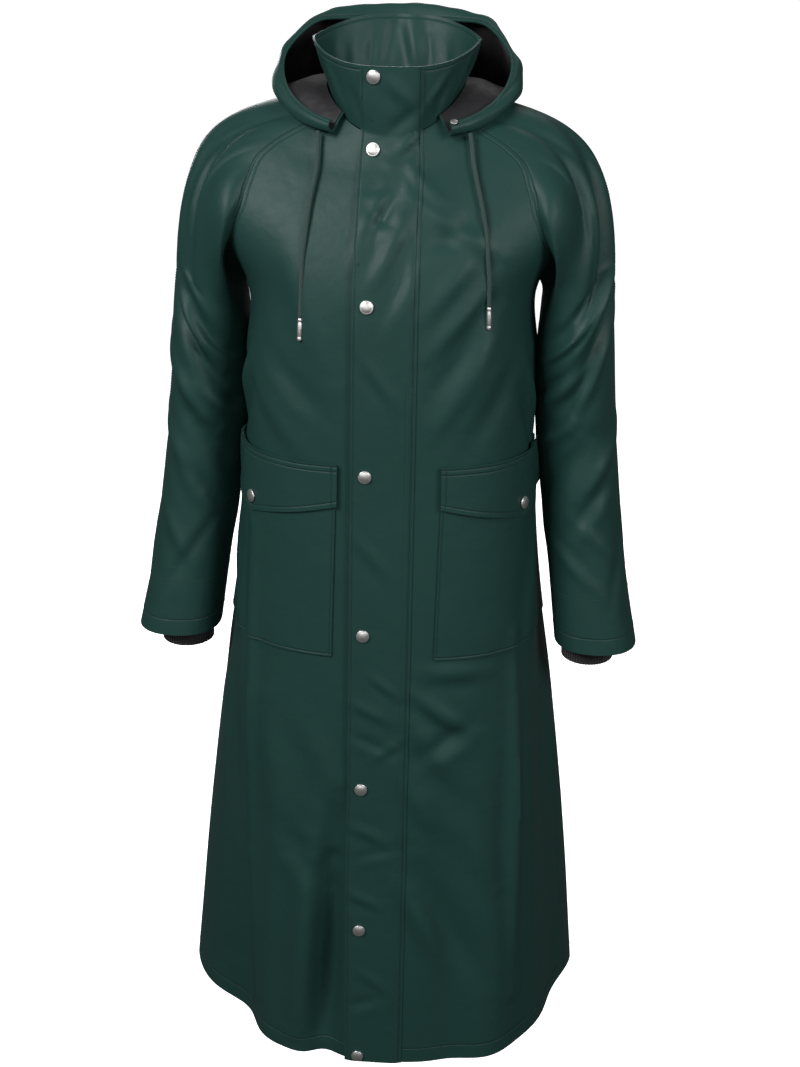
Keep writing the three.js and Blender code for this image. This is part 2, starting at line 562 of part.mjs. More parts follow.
// Pockets lie on the fronts, and their flaps on the pockets. Their points are the panels' own.
const PANEL_ANGLES = steps(0, Math.PI, 2 * PANEL_COLUMNS);
function addPocket({ name, side, edgeTop, edgeBottom, width }) {
  const ring = readTable(BODY, rowAt(POCKET_TOP));
  const startTop = Math.atan2(edgeTop, ring.front);
  const startBottom = Math.atan2(edgeBottom, readTable(BODY, rowAt(POCKET_BOTTOM)).front);
  const end = startTop + width / ((ring.front + ring.halfWidth) / 2 + FLAT_FRONT);
  const angles = between(PANEL_ANGLES, startTop, end);
  const turned = (angle, row) => {
    const share = (row - rowAt(POCKET_TOP)) / (rowAt(POCKET_BOTTOM) - rowAt(POCKET_TOP));
    return side * (angle > startTop ? angle : mix(startTop, startBottom, share));
  };
  const normal = (angle, row) => normalAt(bodyPoint, turned(angle, row), row);
  const onFront = (distance) => (angle, row) =>
    bodyPoint(turned(angle, row), row).addScaledVector(normal(angle, row), distance);
  const pocket = wall(onFront(LAY + CLOTH), angles, POCKET_ROWS, CLOTH, { side, normal });
  addPiece("pocket_" + name, pocket, COAT_CLOTH);
  const middle = (startTop + end) / 2;
  const flapRow = (angle, fall) => {
    const lowest = mix(FLAP_POINT, FLAP_END, Math.abs(angle - middle) / (end - middle));
    return rowAt(mix(FLAP_TOP, lowest, fall));
  };
  const flapPoint = (angle, fall) => {
    const row = flapRow(angle, fall);
    const outward = normalAt(bodyPoint, side * angle, row);
    return bodyPoint(side * angle, row).addScaledVector(outward, 3 * LAY + CLOTH + DOUBLE_CLOTH);
  };
  const inner = [...angles, middle].sort((a, b) => a - b);
  const flapAngles = between(inner, startTop - FLAP_SPARE, end + FLAP_SPARE);
  const flapNormal = (angle, fall) => normalAt(bodyPoint, side * angle, flapRow(angle, fall));
  const flap = wall(flapPoint, flapAngles, steps(0, 1, 2), DOUBLE_CLOTH, { side, normal: flapNormal });
  addPiece("flap_" + name, flap, COAT_CLOTH);
  const snapFall = (FLAP_SNAP - FLAP_TOP) / (FLAP_POINT - FLAP_TOP);
  addSnap("pocket_snap_" + name, flapPoint, middle, snapFall, side);
}

// The hood's surface, at an angle round the neck and a place along its section.
const HOOD_TABLES = HOOD_LINES.map((line) => HOOD.map((row) => ({ out: row[line][0], z: row[line][1] })));
function hoodPoint(angle, along) {
  const half = Math.min(angle, 2 * Math.PI - angle);
  const [first, second, third] = HOOD.map((row) => row.angle);
  const past = radToDeg(half) - second;
  const place = 1 + past / (past < 0 ? second - first : third - second);
  const neck = ringPoint(readTable(COLLAR, HOOD_NECK), half);
  const seam = { out: Math.hypot(neck.x, neck.y) + LAY + CLOTH, z: neck.z };
  const section = [...HOOD_TABLES.map((rows) => readTable(rows, place)), seam];
  const { out, z } = readTable(section, along);
  return new THREE.Vector3(out * Math.sin(angle), -out * Math.cos(angle), z);
}

// The hood is two halves with a seam down its back, and one lining.
function addHood() {
  const first = degToRad(HOOD[0].angle);
  const last = 2 * Math.PI - first;
  const halves = [["left", first, Math.PI - HOOD_SEAM_TURN], ["right", Math.PI + HOOD_SEAM_TURN, last]];
  for (const [name, from, to] of halves) {
    const half = wall(hoodPoint, steps(from, to, HOOD_COLUMNS / 2), HOOD_ALONGS, CLOTH);
    addPiece("hood_half_" + name, half, COAT_CLOTH);
  }
  const angles = steps(first, last, HOOD_COLUMNS);
  const inside = moved(hoodPoint, -CLOTH - LINING_INSET.under);
  const liningAngles = between(angles, first + LINING_INSET.angle, last - LINING_INSET.angle);
  const liningAlongs = between(HOOD_ALONGS, LINING_INSET.edge, HOOD_LINES.length - LINING_INSET.neck);
  const normal = (angle, along) => normalAt(hoodPoint, angle, along);
  addPiece("hood_lining", wall(inside, liningAngles, liningAlongs, LINING, { normal }), HOOD_CLOTH);
}

// A cord of round section along its route, with a metal tip on its end.
function addCord({ name }) {
  const points = CORD_ROUTES[name].map((place) => new THREE.Vector3(...place));
  const curve = new THREE.CatmullRomCurve3(points, false, "centripetal");
  const corners = steps(0, 2 * Math.PI, CORD_SIDES).slice(0, -1);
  const round = corners.map((turn) => {
    return new THREE.Vector2(CORD_RADIUS * Math.cos(turn), CORD_RADIUS * Math.sin(turn));
  });
  const options = { steps: CORD_STEPS, extrudePath: curve, bevelEnabled: false };
  addPiece("cord_" + name, new THREE.ExtrudeGeometry(new THREE.Shape(round), options), CORD_YARN);
  const down = curve.getTangent(1);
  const tip = addPiece("cord_tip_" + name, tipGeometry(), SNAP_METAL);
  tip.position.copy(points.at(-1)).addScaledVector(down, LAY);
  tip.quaternion.setFromUnitVectors(new THREE.Vector3(0, 1, 0), down);
}
function tipGeometry() {
  const profile = [
    [0, 0],
    [TIP_RADIUS - TIP_BEVEL, 0],
    [TIP_RADIUS, TIP_BEVEL],
    [TIP_RADIUS, TIP_LENGTH - TIP_BEVEL],
    [TIP_RADIUS - TIP_BEVEL, TIP_LENGTH],
    [0, TIP_LENGTH],
  ];
  return new THREE.LatheGeometry(profile.map(([x, y]) => new THREE.Vector2(x, y)), TIP_SIDES);
}

SIDES.forEach(addFront);
addBack();
SIDES.forEach(addSleeve);
SIDES.forEach(addCuff);
addCollar();
addPlacket();
SNAP_HEIGHTS.forEach((z, k) => addSnap("snap_" + (k + 1), placketPoint, SNAP_X, frontRowAt(z)));
POCKETS.forEach(addPocket);
addHood();
SIDES.forEach(addCord);

export default raincoat;
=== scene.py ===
# %% [markdown]
# # A long hooded raincoat
#
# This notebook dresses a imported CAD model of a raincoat. The model gives every size, and it stays in
# the file as a fixed frame. Everything here is in metres once it is a mesh, with +Z up, the coat
# facing -Y, and the origin in the middle of the neck. The cloth is computed with numpy as surfaces of
# two parameters, because a garment is a set of flat cuts bent round a body, and one parameter goes
# across each cut while the other goes down it.

# %% Load the frame
import math

import bpy
import numpy as np
from mathutils import Matrix


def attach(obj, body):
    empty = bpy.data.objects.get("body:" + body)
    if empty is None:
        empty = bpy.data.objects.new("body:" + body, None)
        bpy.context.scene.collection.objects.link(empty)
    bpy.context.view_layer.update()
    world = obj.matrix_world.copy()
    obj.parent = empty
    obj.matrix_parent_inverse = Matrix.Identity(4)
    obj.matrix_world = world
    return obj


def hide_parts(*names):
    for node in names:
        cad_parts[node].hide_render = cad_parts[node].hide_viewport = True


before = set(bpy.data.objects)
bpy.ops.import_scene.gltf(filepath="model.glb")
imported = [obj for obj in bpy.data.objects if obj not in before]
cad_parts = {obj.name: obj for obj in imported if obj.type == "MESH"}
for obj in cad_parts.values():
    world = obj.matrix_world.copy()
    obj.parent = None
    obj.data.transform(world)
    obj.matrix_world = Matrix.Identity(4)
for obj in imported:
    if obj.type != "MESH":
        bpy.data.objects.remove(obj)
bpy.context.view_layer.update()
scene = bpy.context.scene
print("nodes in the frame:", len(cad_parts))

# %% [markdown]
# ## The camera
#
# The coat is seen from a little above its collar, so the camera looks down by 22 degrees. It stands
# slightly to the wearer's left and leans by one degree. A long lens keeps the hem from shrinking.

# %% Camera
AZIMUTH, PITCH, ROLL = np.radians([4.0, 21.8, 1.0])
CAMERA_AT = (0.1436, -1.8754, 0.2246)

forward = np.array([-np.sin(AZIMUTH) * np.cos(PITCH), np.cos(AZIMUTH) * np.cos(PITCH), -np.sin(PITCH)])
level = np.array([np.cos(AZIMUTH), np.sin(AZIMUTH), 0.0])
upright = np.cross(level, forward)
right = level * np.cos(ROLL) + upright * np.sin(ROLL)
top = upright * np.cos(ROLL) - level * np.sin(ROLL)
lens = bpy.data.cameras.new("camera")
lens.sensor_fit = "VERTICAL"
lens.sensor_height = 36
lens.lens = 56.04
camera = bpy.data.objects.new("camera", lens)
scene.collection.objects.link(camera)
turned = np.column_stack([right, top, -forward])
camera.matrix_world = Matrix.Translation(CAMERA_AT) @ Matrix(turned.tolist()).to_4x4()
scene.camera = camera
print("camera looks along", forward.round(3))

# %% [markdown]
# ## Tables and surfaces
#
# A body isn't a formula, but a few rows of measurements describe it well. Each table below has named
# columns, and a smooth curve is drawn through each column, so that any height between two rows has
# its own measurements. Millimetres are easier to read for a garment, so the surfaces are worked out
# in millimetres and made metres when they become a mesh.

# %% Tables read as smooth curves
MM = 0.001
CLOTH, DOUBLE_CLOTH, LINING = 1.6, 2.4, 1.0
LAY = 0.5
NUDGE = 1e-3


def table(names, rows):
    """Named columns, one number in each for every row."""
    return dict(zip(names.split(), np.array(rows, float).T))


def catmull_rom(a, b, c, d, f):
    """The smooth curve between b and c, with neighbours a and d, at a fraction f of the way.

    It is half of (3b - a - 3c + d) f^3 + (2a - 5b + 4c - d) f^2 + (c - a) f + 2b."""
    return ((3 * b - a - 3 * c + d) * f**3 + (2 * a - 5 * b + 4 * c - d) * f**2 + (c - a) * f) / 2 + b


def read(columns, place):
    """Reads every column at a place between rows, along its Catmull-Rom curve."""
    place = np.asarray(place, float)
    count = len(next(iter(columns.values())))
    start = np.clip(np.floor(place).astype(int), 0, count - 2)
    f = place - start
    near = [np.clip(start + k, 0, count - 1) for k in (-1, 0, 1, 2)]
    return {name: catmull_rom(*(column[k] for k in near), f) for name, column in columns.items()}


def smoothstep(x, low, high):
    """0 below low, 1 above high, and 3t^2 - 2t^3 between."""
    t = np.clip((x - low) / (high - low), 0, 1)
    return t * t * (3 - 2 * t)


def mix(a, b, share):
    return a + (b - a) * share


def unit(v):
    return v / np.maximum(np.linalg.norm(v, axis=-1, keepdims=True), 1e-12)


def normal_at(point, across, down, side=1, reach=NUDGE):
    """The outward normal: the cross product of the steps down and across the surface."""
    along = point(across + reach, down) - point(across - reach, down)
    below = point(across, down + reach) - point(across, down - reach)
    return unit(np.cross(below, along)) * side


# %% [markdown]
# ## The body of the coat
#
# Rings from the neck seam down to the hem give the body. Each ring is a rounded oblong with its own
# reach to the front and to the back. The skirt hangs in broad folds, which grow from nothing below
# the hips to their full depth at the hem.

# %% Body rings
RING = "z_front z_side z_back half_width front back square rise"
BODY = table(RING, [
    (-40, 0, 10, 72, 84, 58, 2.05, 2),
    (-70, -16, -20, 156, 92, 80, 2, 6),
    (-92, -44, -62, 208, 104, 98, 2, 7),
    (-138, -96, -125, 236, 126, 112, 2.1, 7),
    (-206, -206, -206, 166, 146, 121, 2.6, 7),
    (-300, -300, -300, 166.6, 151, 120, 2.8, 5),
    (-420, -420, -420, 169, 152, 123, 2.8, 5),
    (-560, -560, -560, 179, 157, 131, 2.7, 5),
    (-715, -715, -715, 198, 163, 142, 2.6, 5),
    (-875, -870, -875, 213, 169, 153, 2.5, 5),
    (-1030, -1016, -1032, 227, 174, 162, 2.4, 5),
    (-1175, -1148, -1180, 240, 179, 169, 2.3, 5),
])
HEM, UNDERARM = 11, 4

DRAPES = [
    dict(angle=-59, lean=0, width=12, depth=-30, top=-560, full=-1220),
    dict(angle=-92, lean=-2, width=14, depth=14, top=-430, full=-1000),
    dict(angle=43, lean=0, width=10, depth=10, top=-620, full=-1150),
    dict(angle=78, lean=0, width=11, depth=-10, top=-460, full=-1000),
    dict(angle=99, lean=2, width=13, depth=17, top=-430, full=-1050),
    dict(angle=-19, lean=1, width=8, depth=-9, top=-800, full=-1130),
    dict(angle=24, lean=8, width=8, depth=-5, top=-680, full=-1050),
    dict(angle=120, lean=2, width=9, depth=-9, top=-460, full=-1000),
    dict(angle=142, lean=3, width=10, depth=9, top=-380, full=-1000),
    dict(angle=163, lean=4, width=9, depth=-8, top=-450, full=-1050),
    dict(angle=-170, lean=-3, width=10, depth=7, top=-420, full=-1000),
    dict(angle=-146, lean=-2, width=10, depth=-10, top=-400, full=-1000),
    dict(angle=-121, lean=2, width=10, depth=6, top=-520, full=-1050),
]


def ring_point(ring, angle, bulge=0):
    """A point of a rounded oblong at an angle from the centre front towards +X.

    With the sine s and cosine c of the angle, the radius is (|s/width|^n + |c/depth|^n)^(-1/n), and
    the height goes from the front or back height to the side height by |s| to the power of rise."""
    s, c = np.abs(np.sin(angle)), np.abs(np.cos(angle))
    ahead = np.cos(angle) > 0
    depth = np.where(ahead, ring["front"], ring["back"])
    reach = (s / ring["half_width"]) ** ring["square"] + (c / depth) ** ring["square"]
    radius = reach ** (-1 / ring["square"]) + bulge
    z = mix(np.where(ahead, ring["z_front"], ring["z_back"]), ring["z_side"], s ** ring["rise"])
    return np.stack([radius * np.sin(angle), -radius * np.cos(angle), z + 0 * radius], axis=-1)


def drape(angle, z):
    """How far the hanging folds move the skirt out: a bell curve round each fold's own angle."""
    out = 0
    for fold in DRAPES:
        grown = smoothstep(-z, -fold["top"], -fold["full"])
        middle = fold["angle"] + fold["lean"] * grown
        off = (np.degrees(angle) - middle + 900) % 360 - 180
        out = out + fold["depth"] * grown * np.exp(-((off / fold["width"]) ** 2))
    return out


def body_point(angle, row):
    ring = read(BODY, row)
    return ring_point(ring, angle, drape(angle, ring["z_front"]))


ROWS = np.linspace(0, HEM, 2201)
ROW_HEIGHTS = read(BODY, ROWS)["z_front"]


def row_at(z):
    """The row of BODY whose front is at a height."""
    return np.interp(-np.asarray(z, float), -ROW_HEIGHTS, ROWS)


print("body rings:", HEM + 1, "hanging folds:", len(DRAPES))

# %% [markdown]
# ## Creases
#
# Besides the broad folds, coated cloth keeps many small creases: pulls towards the arms and snaps,
# and soft dents where it was folded. Each crease here is placed as a line with two ends. Its
# section is a rounded ridge with a shallower dent beside it, which is how stiff cloth buckles, and it
# fades out towards both ends.

# %% Crease function
BODY_REACH = 150
CREASE = "x y to_x to_y width depth"


def crease(columns, x, y):
    """How far a table of creases moves the cloth out at the places (x, y).

    Along a crease the height is sin(pi t)^0.7 of its share t; across it, at u widths from its line,
    it is exp(-u^2) - 0.45 exp(-((u - 1.6) / 1.1)^2). Past its ends it falls off like exp(-d^2)."""
    out = np.zeros(np.broadcast(x, y).shape)
    for x0, y0, x1, y1, width, depth in zip(*(columns[name] for name in CREASE.split())):
        length = math.hypot(x1 - x0, y1 - y0)
        along = ((x - x0) * (x1 - x0) + (y - y0) * (y1 - y0)) / length
        off = ((x - x0) * (y1 - y0) - (y - y0) * (x1 - x0)) / length / width
        past = np.maximum(0, np.maximum(-along, along - length)) / width
        share = np.clip(along / length, 0.06, 0.94)
        section = np.exp(-(off**2)) - 0.45 * np.exp(-(((off - 1.6) / 1.1) ** 2))
        out += depth * np.sin(np.pi * share) ** 0.7 * section * np.exp(-(past**2))
    return out


def laid_round(columns, reach):
    """A table of creases whose x is an angle in degrees, as millimetres of cloth at a reach."""
    placed = dict(columns)
    for name in ("x", "to_x"):
        placed[name] = np.radians(columns[name]) * reach
    return placed


# %% [markdown]
# The creases of the body are placed by an angle in degrees from the centre front, as x, and a height
# in millimetres, as y. The angle becomes millimetres of cloth before a crease is measured.

# %% Creases of the body
BODY_CREASES = table(CREASE, [
    (10, -64, 34, -112, 8, 3.0),
    (12, -92, 48, -158, 10, 4.0),
    (16, -158, 46, -112, 9, -3.0),
    (17, -222, 40, -150, 9, 3.8),
    (18, -266, 46, -178, 9, 4.2),
    (19, -312, 42, -232, 9, -3.4),
    (20, -356, 34, -292, 9, 2.6),
    (-14, -170, -2, -88, 9, 2.6),
    (-12, -112, 8, -132, 7, -2.2),
    (-44, -120, -22, -300, 16, 3.4),
    (-50, -262, -22, -340, 12, -2.6),
    (50, -196, 30, -330, 14, 3.2),
    (58, -262, 34, -372, 12, -3.2),
    (-56, -300, -30, -386, 12, 2.6),
    (64, -286, 80, -366, 10, 5.0),
    (58, -316, 84, -420, 10, -4.4),
    (70, -340, 90, -470, 10, 4.0),
    (-62, -286, -82, -352, 10, 5.0),
    (-60, -320, -84, -408, 10, -4.4),
    (-70, -350, -92, -470, 10, 4.0),
    (16, -664, 36, -716, 9, 5.6),
    (19, -636, 42, -640, 10, 3.6),
    (18, -748, 36, -706, 10, -5.0),
    (15, -700, 34, -790, 12, 4.4),
    (14, -780, 24, -850, 11, 4.4),
    (13, -868, 40, -1060, 13, -5.4),
    (15, -930, 26, -1030, 11, 4.4),
    (30, -812, 46, -930, 13, 3.8),
    (36, -900, 50, -1090, 14, 3.6),
    (-30, -700, -13, -820, 14, 3.2),
    (-36, -850, -16, -950, 13, -3.6),
    (-17, -890, -21, -1180, 12, -18.0),
    (-15, -800, -19, -930, 10, -6.0),
    (-26, -860, -32, -1150, 11, 5.0),
    (-46, -690, -36, -900, 15, 3.8),
    (-54, -480, -50, -1120, 7, 9.0),
    (-68, -640, -62, -900, 13, -4.6),
    (-76, -470, -64, -620, 12, 3.8),
    (-70, -560, -86, -720, 12, -3.6),
    (74, -490, 62, -640, 12, 3.8),
    (66, -660, 72, -900, 14, -4.2),
    (52, -1090, 55, -600, 7, 9.0),
    (47, -940, 50, -760, 12, -2.4),
    (84, -640, 92, -900, 13, 4.0),
    (124, -150, 150, -214, 12, 2.6),
    (118, -232, 152, -268, 12, -2.6),
    (112, -300, 150, -352, 13, 3.0),
    (176, -140, 160, -262, 14, 2.4),
    (-124, -160, -146, -236, 12, 2.6),
    (-116, -250, -150, -300, 12, -2.8),
    (-112, -330, -140, -372, 13, 3.2),
    (-170, -420, -150, -520, 14, 2.6),
    (168, -560, 152, -720, 15, -3.4),
    (130, -480, 140, -660, 13, 3.6),
    (-130, -520, -140, -720, 13, 3.4),
    (-160, -760, -150, -980, 15, 3.6),
    (150, -820, 158, -1060, 14, 3.8),
    (112, -760, 122, -980, 13, 3.6),
    (-112, -800, -104, -1040, 13, 3.8),
    (168, -900, 174, -1100, 15, -3.4),
    (88, -212, 88, -340, 26, 3.4),
    (-88, -212, -88, -340, 26, 3.4),
])


def body_creases(angle, z):
    turned = (np.degrees(angle) + 900) % 360 - 180
    return crease(laid_round(BODY_CREASES, BODY_REACH), np.radians(turned) * BODY_REACH, z)


# %% [markdown]
# ## Armholes and sleeves
#
# These are raglan sleeves: the seam runs from the neck to the underarm, so the sleeve carries on the
# slope of the shoulder. Over the shoulder the sleeve's surface is a Hermite curve, which leaves the
# seam along the body's own surface and arrives in line with the arm. Below that, the arm is a row of
# rounded oblongs again.

# %% Armhole
ARMHOLE = table("front back", [
    (52, 132), (58, 128), (62, 124), (63, 121), (63, 119), (61, 117), (60, 116), (66, 111), (90, 90),
])
SEAM_GAP = 0.2
NECK_CORNER = 8 / 11


def armhole_angle(row, face):
    return np.radians(read(ARMHOLE, np.minimum(row, UNDERARM) * 2)[face])


def creased_point(angle, row):
    """The body with its creases, which fade out within 30 mm of the armhole and the neck seams."""
    ring = read(BODY, row)
    at = body_point(angle, row)
    half = np.abs((angle + 5 * np.pi) % (2 * np.pi) - np.pi)
    behind = half > np.pi / 2
    seam = np.where(behind, armhole_angle(row, "back"), armhole_angle(row, "front"))
    from_seam = np.where(row < UNDERARM, np.abs(half - seam) * BODY_REACH, 1e3)
    kept = smoothstep(from_seam, 2, 30) * smoothstep(row, 0.05, 0.7)
    out = kept * body_creases(angle, at[..., 2])
    return at + normal_at(body_point, angle, np.maximum(row, 2 * NUDGE)) * out[..., None]


def armhole_place(going):
    """Going round the sleeve's start: 0 is the underarm, then the front seam, the neck, the back seam."""
    climb = np.minimum(going, 2 - going)
    on_seam = climb < NECK_CORNER
    row = np.where(on_seam, UNDERARM * (1 - climb / NECK_CORNER), 0)
    front = np.where(on_seam, armhole_angle(row, "front"), 0)
    back = np.where(on_seam, armhole_angle(row, "back"), 0)
    share = (climb - NECK_CORNER) / (1 - NECK_CORNER)
    start_front, start_back = armhole_angle(0, "front"), armhole_angle(0, "back")
    front = np.where(on_seam, front, mix(start_front, np.pi / 2, share))
    back = np.where(on_seam, back, mix(start_back, np.pi / 2, share))
    return np.where(going <= 1, front, back), row


def armhole_point(going):
    angle, row = armhole_place(going)
    return body_point(angle, row)


def armhole_normal(going):
    angle, row = armhole_place(going)
    return normal_at(body_point, angle, np.maximum(row, 2 * NUDGE))


def armhole_onward(going):
    seam = armhole_point(going + NUDGE) - armhole_point(going - NUDGE)
    return unit(np.cross(seam, armhole_normal(going)))


print("the front seam starts", float(ARMHOLE["front"][0]), "degrees from the centre")

# %% Sleeve surface
ARM = table("outer_x outer_z inner_x inner_z middle_y half_depth square", [
    (250, -178, 171, -254, 2, 77, 2.1),
    (255, -250, 171, -292, 3, 76, 2.1),
    (261, -330, 172, -346, 5, 72, 2.1),
    (268, -405, 177, -408, 3, 67, 2.1),
    (277, -482, 185, -484, -5, 62, 2.1),
    (288, -560, 195, -560, -16, 58, 2.2),
    (304, -640, 205, -640, -28, 54, 2.3),
])
WRIST = 6
UNDERARM_TURN, UNDERARM_SHARE, SHOULDER_REACH = math.radians(125), 0.45, 1.6
CROWD_POWER, CROWD_UNTIL = 0.55, 2


def leave_direction(going):
    """Sideways along the body over the shoulder, turned out of it by up to 125 degrees under the arm."""
    turn = UNDERARM_TURN * (1 - smoothstep(np.minimum(going, 2 - going), 0, UNDERARM_SHARE))
    out = armhole_normal(going)
    sideways = unit(np.array([1.0, 0, 0]) - out * out[..., :1])
    return sideways * np.cos(turn)[..., None] + out * np.sin(turn)[..., None]


def arm_point(going, row):
    """A rounded oblong across the arm, from its body side (0) over the front and the outside (1).

    At the top the places crowd towards the outside, as climb^0.55, like those of the armhole."""
    arm = read(ARM, row)
    aside = (going + 3) % 2 - 1
    climb = np.abs(aside)
    turn = np.pi * mix(climb**CROWD_POWER, climb, smoothstep(row, 0, CROWD_UNTIL))
    inward, ahead = np.cos(turn), np.sign(aside) * np.sin(turn)
    n = arm["square"]
    radius = (np.abs(inward) ** n + np.abs(ahead) ** n) ** (-1 / n)
    share = (1 + inward * radius) / 2
    x = mix(arm["outer_x"], arm["inner_x"], share)
    y = arm["middle_y"] - arm["half_depth"] * ahead * radius
    return np.stack([x, y, mix(arm["outer_z"], arm["inner_z"], share)], axis=-1)


def smooth_sleeve(going, down):
    """Down is 0 at the armhole, 1 at the top of ARM and 7 at the hem.

    Above 1 it is the Hermite curve (2t^3 - 3t^2 + 1) start + (t^3 - 2t^2 + t) leave +
    (3t^2 - 2t^3) end + (t^3 - t^2) arrive."""
    going, down = np.broadcast_arrays(np.asarray(going, float), np.asarray(down, float))
    wrapped = going % 2
    start = armhole_point(wrapped) + armhole_onward(wrapped) * SEAM_GAP / 2
    end = arm_point(wrapped, 0)
    span = np.linalg.norm(end - start, axis=-1, keepdims=True)
    reach = span * mix(1, SHOULDER_REACH, np.sin(np.pi * wrapped / 2) ** 2)[..., None]
    arrive = unit(arm_point(wrapped, NUDGE) - end)
    t = np.minimum(down, 1)[..., None]
    curve = start * (2 * t**3 - 3 * t**2 + 1) + leave_direction(wrapped) * reach * (t**3 - 2 * t**2 + t)
    curve = curve + end * (3 * t**2 - 2 * t**3) + arrive * reach * (t**3 - t**2)
    return np.where(down[..., None] >= 1, arm_point(going, np.maximum(down - 1, 0)), curve)


print("sleeve hem at", smooth_sleeve(1.0, 7.0).round(0), "mm")

# %% [markdown]
# The arms hang, so each sleeve is too long on its inner side, and it buckles: broad folds run from the
# chest across the upper arm, and shorter ones gather at the elbow and under the arm. The broad ones
# are in the CAD model, with the same numbers. The small ones are added here.

# %% Sleeve folds and creases
ROUND_REACH, DOWN_REACH = 170, 82
FOLD = "x y to_x to_y width depth"
FOLDS = {
    "left": table(FOLD, [
        (0.92, 0.5, 0.2, 1.5, 16, -12), (0.72, 0.45, 0.22, 0.75, 14, -7), (0.86, 1.2, 0.3, 3.4, 18, -10),
        (0.6, 3.6, 0.12, 4.6, 18, -7), (1.25, 0.7, 1.75, 1.8, 18, -9), (1.2, 2.2, 1.7, 3.8, 18, -8),
        (0, 0.6, 0, 5.2, 30, 4.6), (2, 0.6, 2, 5.2, 30, 4.6),
    ]),
    "right": table(FOLD, [
        (0.8, 0.35, 0.35, 1.1, 15, -10), (0.93, 0.8, 0.2, 3.1, 18, -11), (0.6, 1.2, 0.14, 2.0, 15, -8),
        (0.55, 3.4, 0.1, 4.5, 18, -6), (1.2, 0.9, 1.75, 2.0, 18, -9), (1.3, 2.6, 1.75, 3.9, 18, -7),
        (0, 0.6, 0, 5.2, 30, 4.6), (2, 0.6, 2, 5.2, 30, 4.6),
    ]),
}
SLEEVE_CREASES = {
    "left": table(CREASE, [
        (0.86, 0.3, 0.52, 0.95, 9, 5.5), (0.95, 0.62, 0.4, 2.0, 10, 7.0), (0.7, 0.3, 0.44, 0.62, 7, -4),
        (0.62, 0.75, 0.3, 1.5, 8, 5.0), (0.92, 1.5, 0.44, 3.2, 11, 6.6), (0.66, 2.2, 0.16, 3.1, 9, 5.2),
        (0.5, 1.5, 0.1, 2.1, 8, 4.8), (0.4, 2.3, 0.08, 2.8, 8, -4.2),
        (0.46, 3.3, 0.06, 3.9, 9, 5.0), (0.94, 3.5, 0.5, 4.6, 11, 4.6), (0.76, 4.2, 0.3, 5.3, 10, -4.0),
        (0.4, 4.9, 0.86, 5.7, 10, 2.6), (0.2, 5.3, 0.6, 6.1, 9, 2.4), (0.9, 5.0, 0.66, 6.3, 9, -2.2),
        (1.2, 1.3, 1.7, 2.5, 9, 3.4), (1.3, 3.1, 1.78, 4.2, 9, 3.2), (1.15, 4.5, 1.6, 5.2, 10, 2.6),
        (1.7, 5.4, 1.3, 6.2, 9, -2.4),
    ]),
    "right": table(CREASE, [
        (0.8, 0.3, 0.5, 0.9, 9, 5.2), (0.66, 0.4, 0.4, 0.8, 7, -4), (0.94, 0.85, 0.4, 2.1, 11, 7.0),
        (0.78, 1.4, 0.28, 2.5, 9, 5.6), (0.52, 1.5, 0.1, 2.3, 9, -4.6), (0.92, 2.3, 0.32, 3.7, 12, 6.2),
        (0.5, 2.9, 0.08, 3.6, 9, 4.8), (0.9, 3.5, 0.42, 4.7, 12, 4.8), (0.62, 4.2, 0.18, 5.0, 10, -4.0),
        (0.82, 4.9, 0.4, 5.9, 10, 2.6), (0.3, 5.1, 0.62, 6.2, 9, -2.4), (0.95, 5.2, 0.8, 6.4, 9, 2.4),
        (1.2, 1.4, 1.7, 2.6, 9, 3.4), (1.3, 3.3, 1.76, 4.4, 9, 3), (1.15, 4.7, 1.6, 5.5, 10, 2.6),
        (1.65, 5.3, 1.25, 6.1, 9, -2.4),
    ]),
}


def scaled(columns):
    """A table placed round and down a sleeve, in millimetres of cloth."""
    placed = dict(columns)
    for name, reach in (("x", ROUND_REACH), ("to_x", ROUND_REACH), ("y", DOWN_REACH), ("to_y", DOWN_REACH)):
        placed[name] = columns[name] * reach
    return placed


def trough(columns, x, y):
    """The model's soft folds: depth sin(pi t)^0.6 exp(-(off^2 + past^2) / width^2)."""
    out = np.zeros(np.broadcast(x, y).shape)
    for x0, y0, x1, y1, width, depth in zip(*(columns[name] for name in FOLD.split())):
        length = math.hypot(x1 - x0, y1 - y0)
        along = ((x - x0) * (x1 - x0) + (y - y0) * (y1 - y0)) / length
        off = ((x - x0) * (y1 - y0) - (y - y0) * (x1 - x0)) / length
        past = np.maximum(0, np.maximum(-along, along - length))
        fade = np.sin(np.pi * np.clip(along / length, 0.08, 0.92)) ** 0.6
        out += depth * fade * np.exp(-(off**2 + past**2) / width**2)
    return out


def sleeve_surface(side_name, side):
    """The sleeve of one side with its folds and creases; the other side is its mirror image."""
    folds, creases = scaled(FOLDS[side_name]), scaled(SLEEVE_CREASES[side_name])

    def point(going, down):
        at = smooth_sleeve(going, down)
        x, y = (going % 2) * ROUND_REACH, down * DOWN_REACH
        kept = smoothstep(down, 0.1, 0.5) * (1 - smoothstep(down, 5.8, 7))
        small = smoothstep(down, 0.15, 0.6) * (1 - smoothstep(down, 6.2, 6.9))
        out = kept * trough(folds, x, y) + small * crease(creases, x, y)
        at = at + normal_at(smooth_sleeve, going, down) * out[..., None]
        return at * np.array([side, 1, 1])

    return point


SIDES = {"left": 1, "right": -1}
print("creases on each sleeve:", {name: len(rows["x"]) for name, rows in SLEEVE_CREASES.items()})

# %% [markdown]
# ## From a surface to a wall of cloth
#
# A surface has no thickness, but cloth has two faces and a cut edge. The grid of points is laid once
# on the outside and once a cloth's thickness further in, and a strip of faces closes the rim. Two
# extra lines of points run just inside each free edge, so that the edge looks folded, not razor cut.
# The distances from the four edges are kept with the points, because seams and stitches follow them.

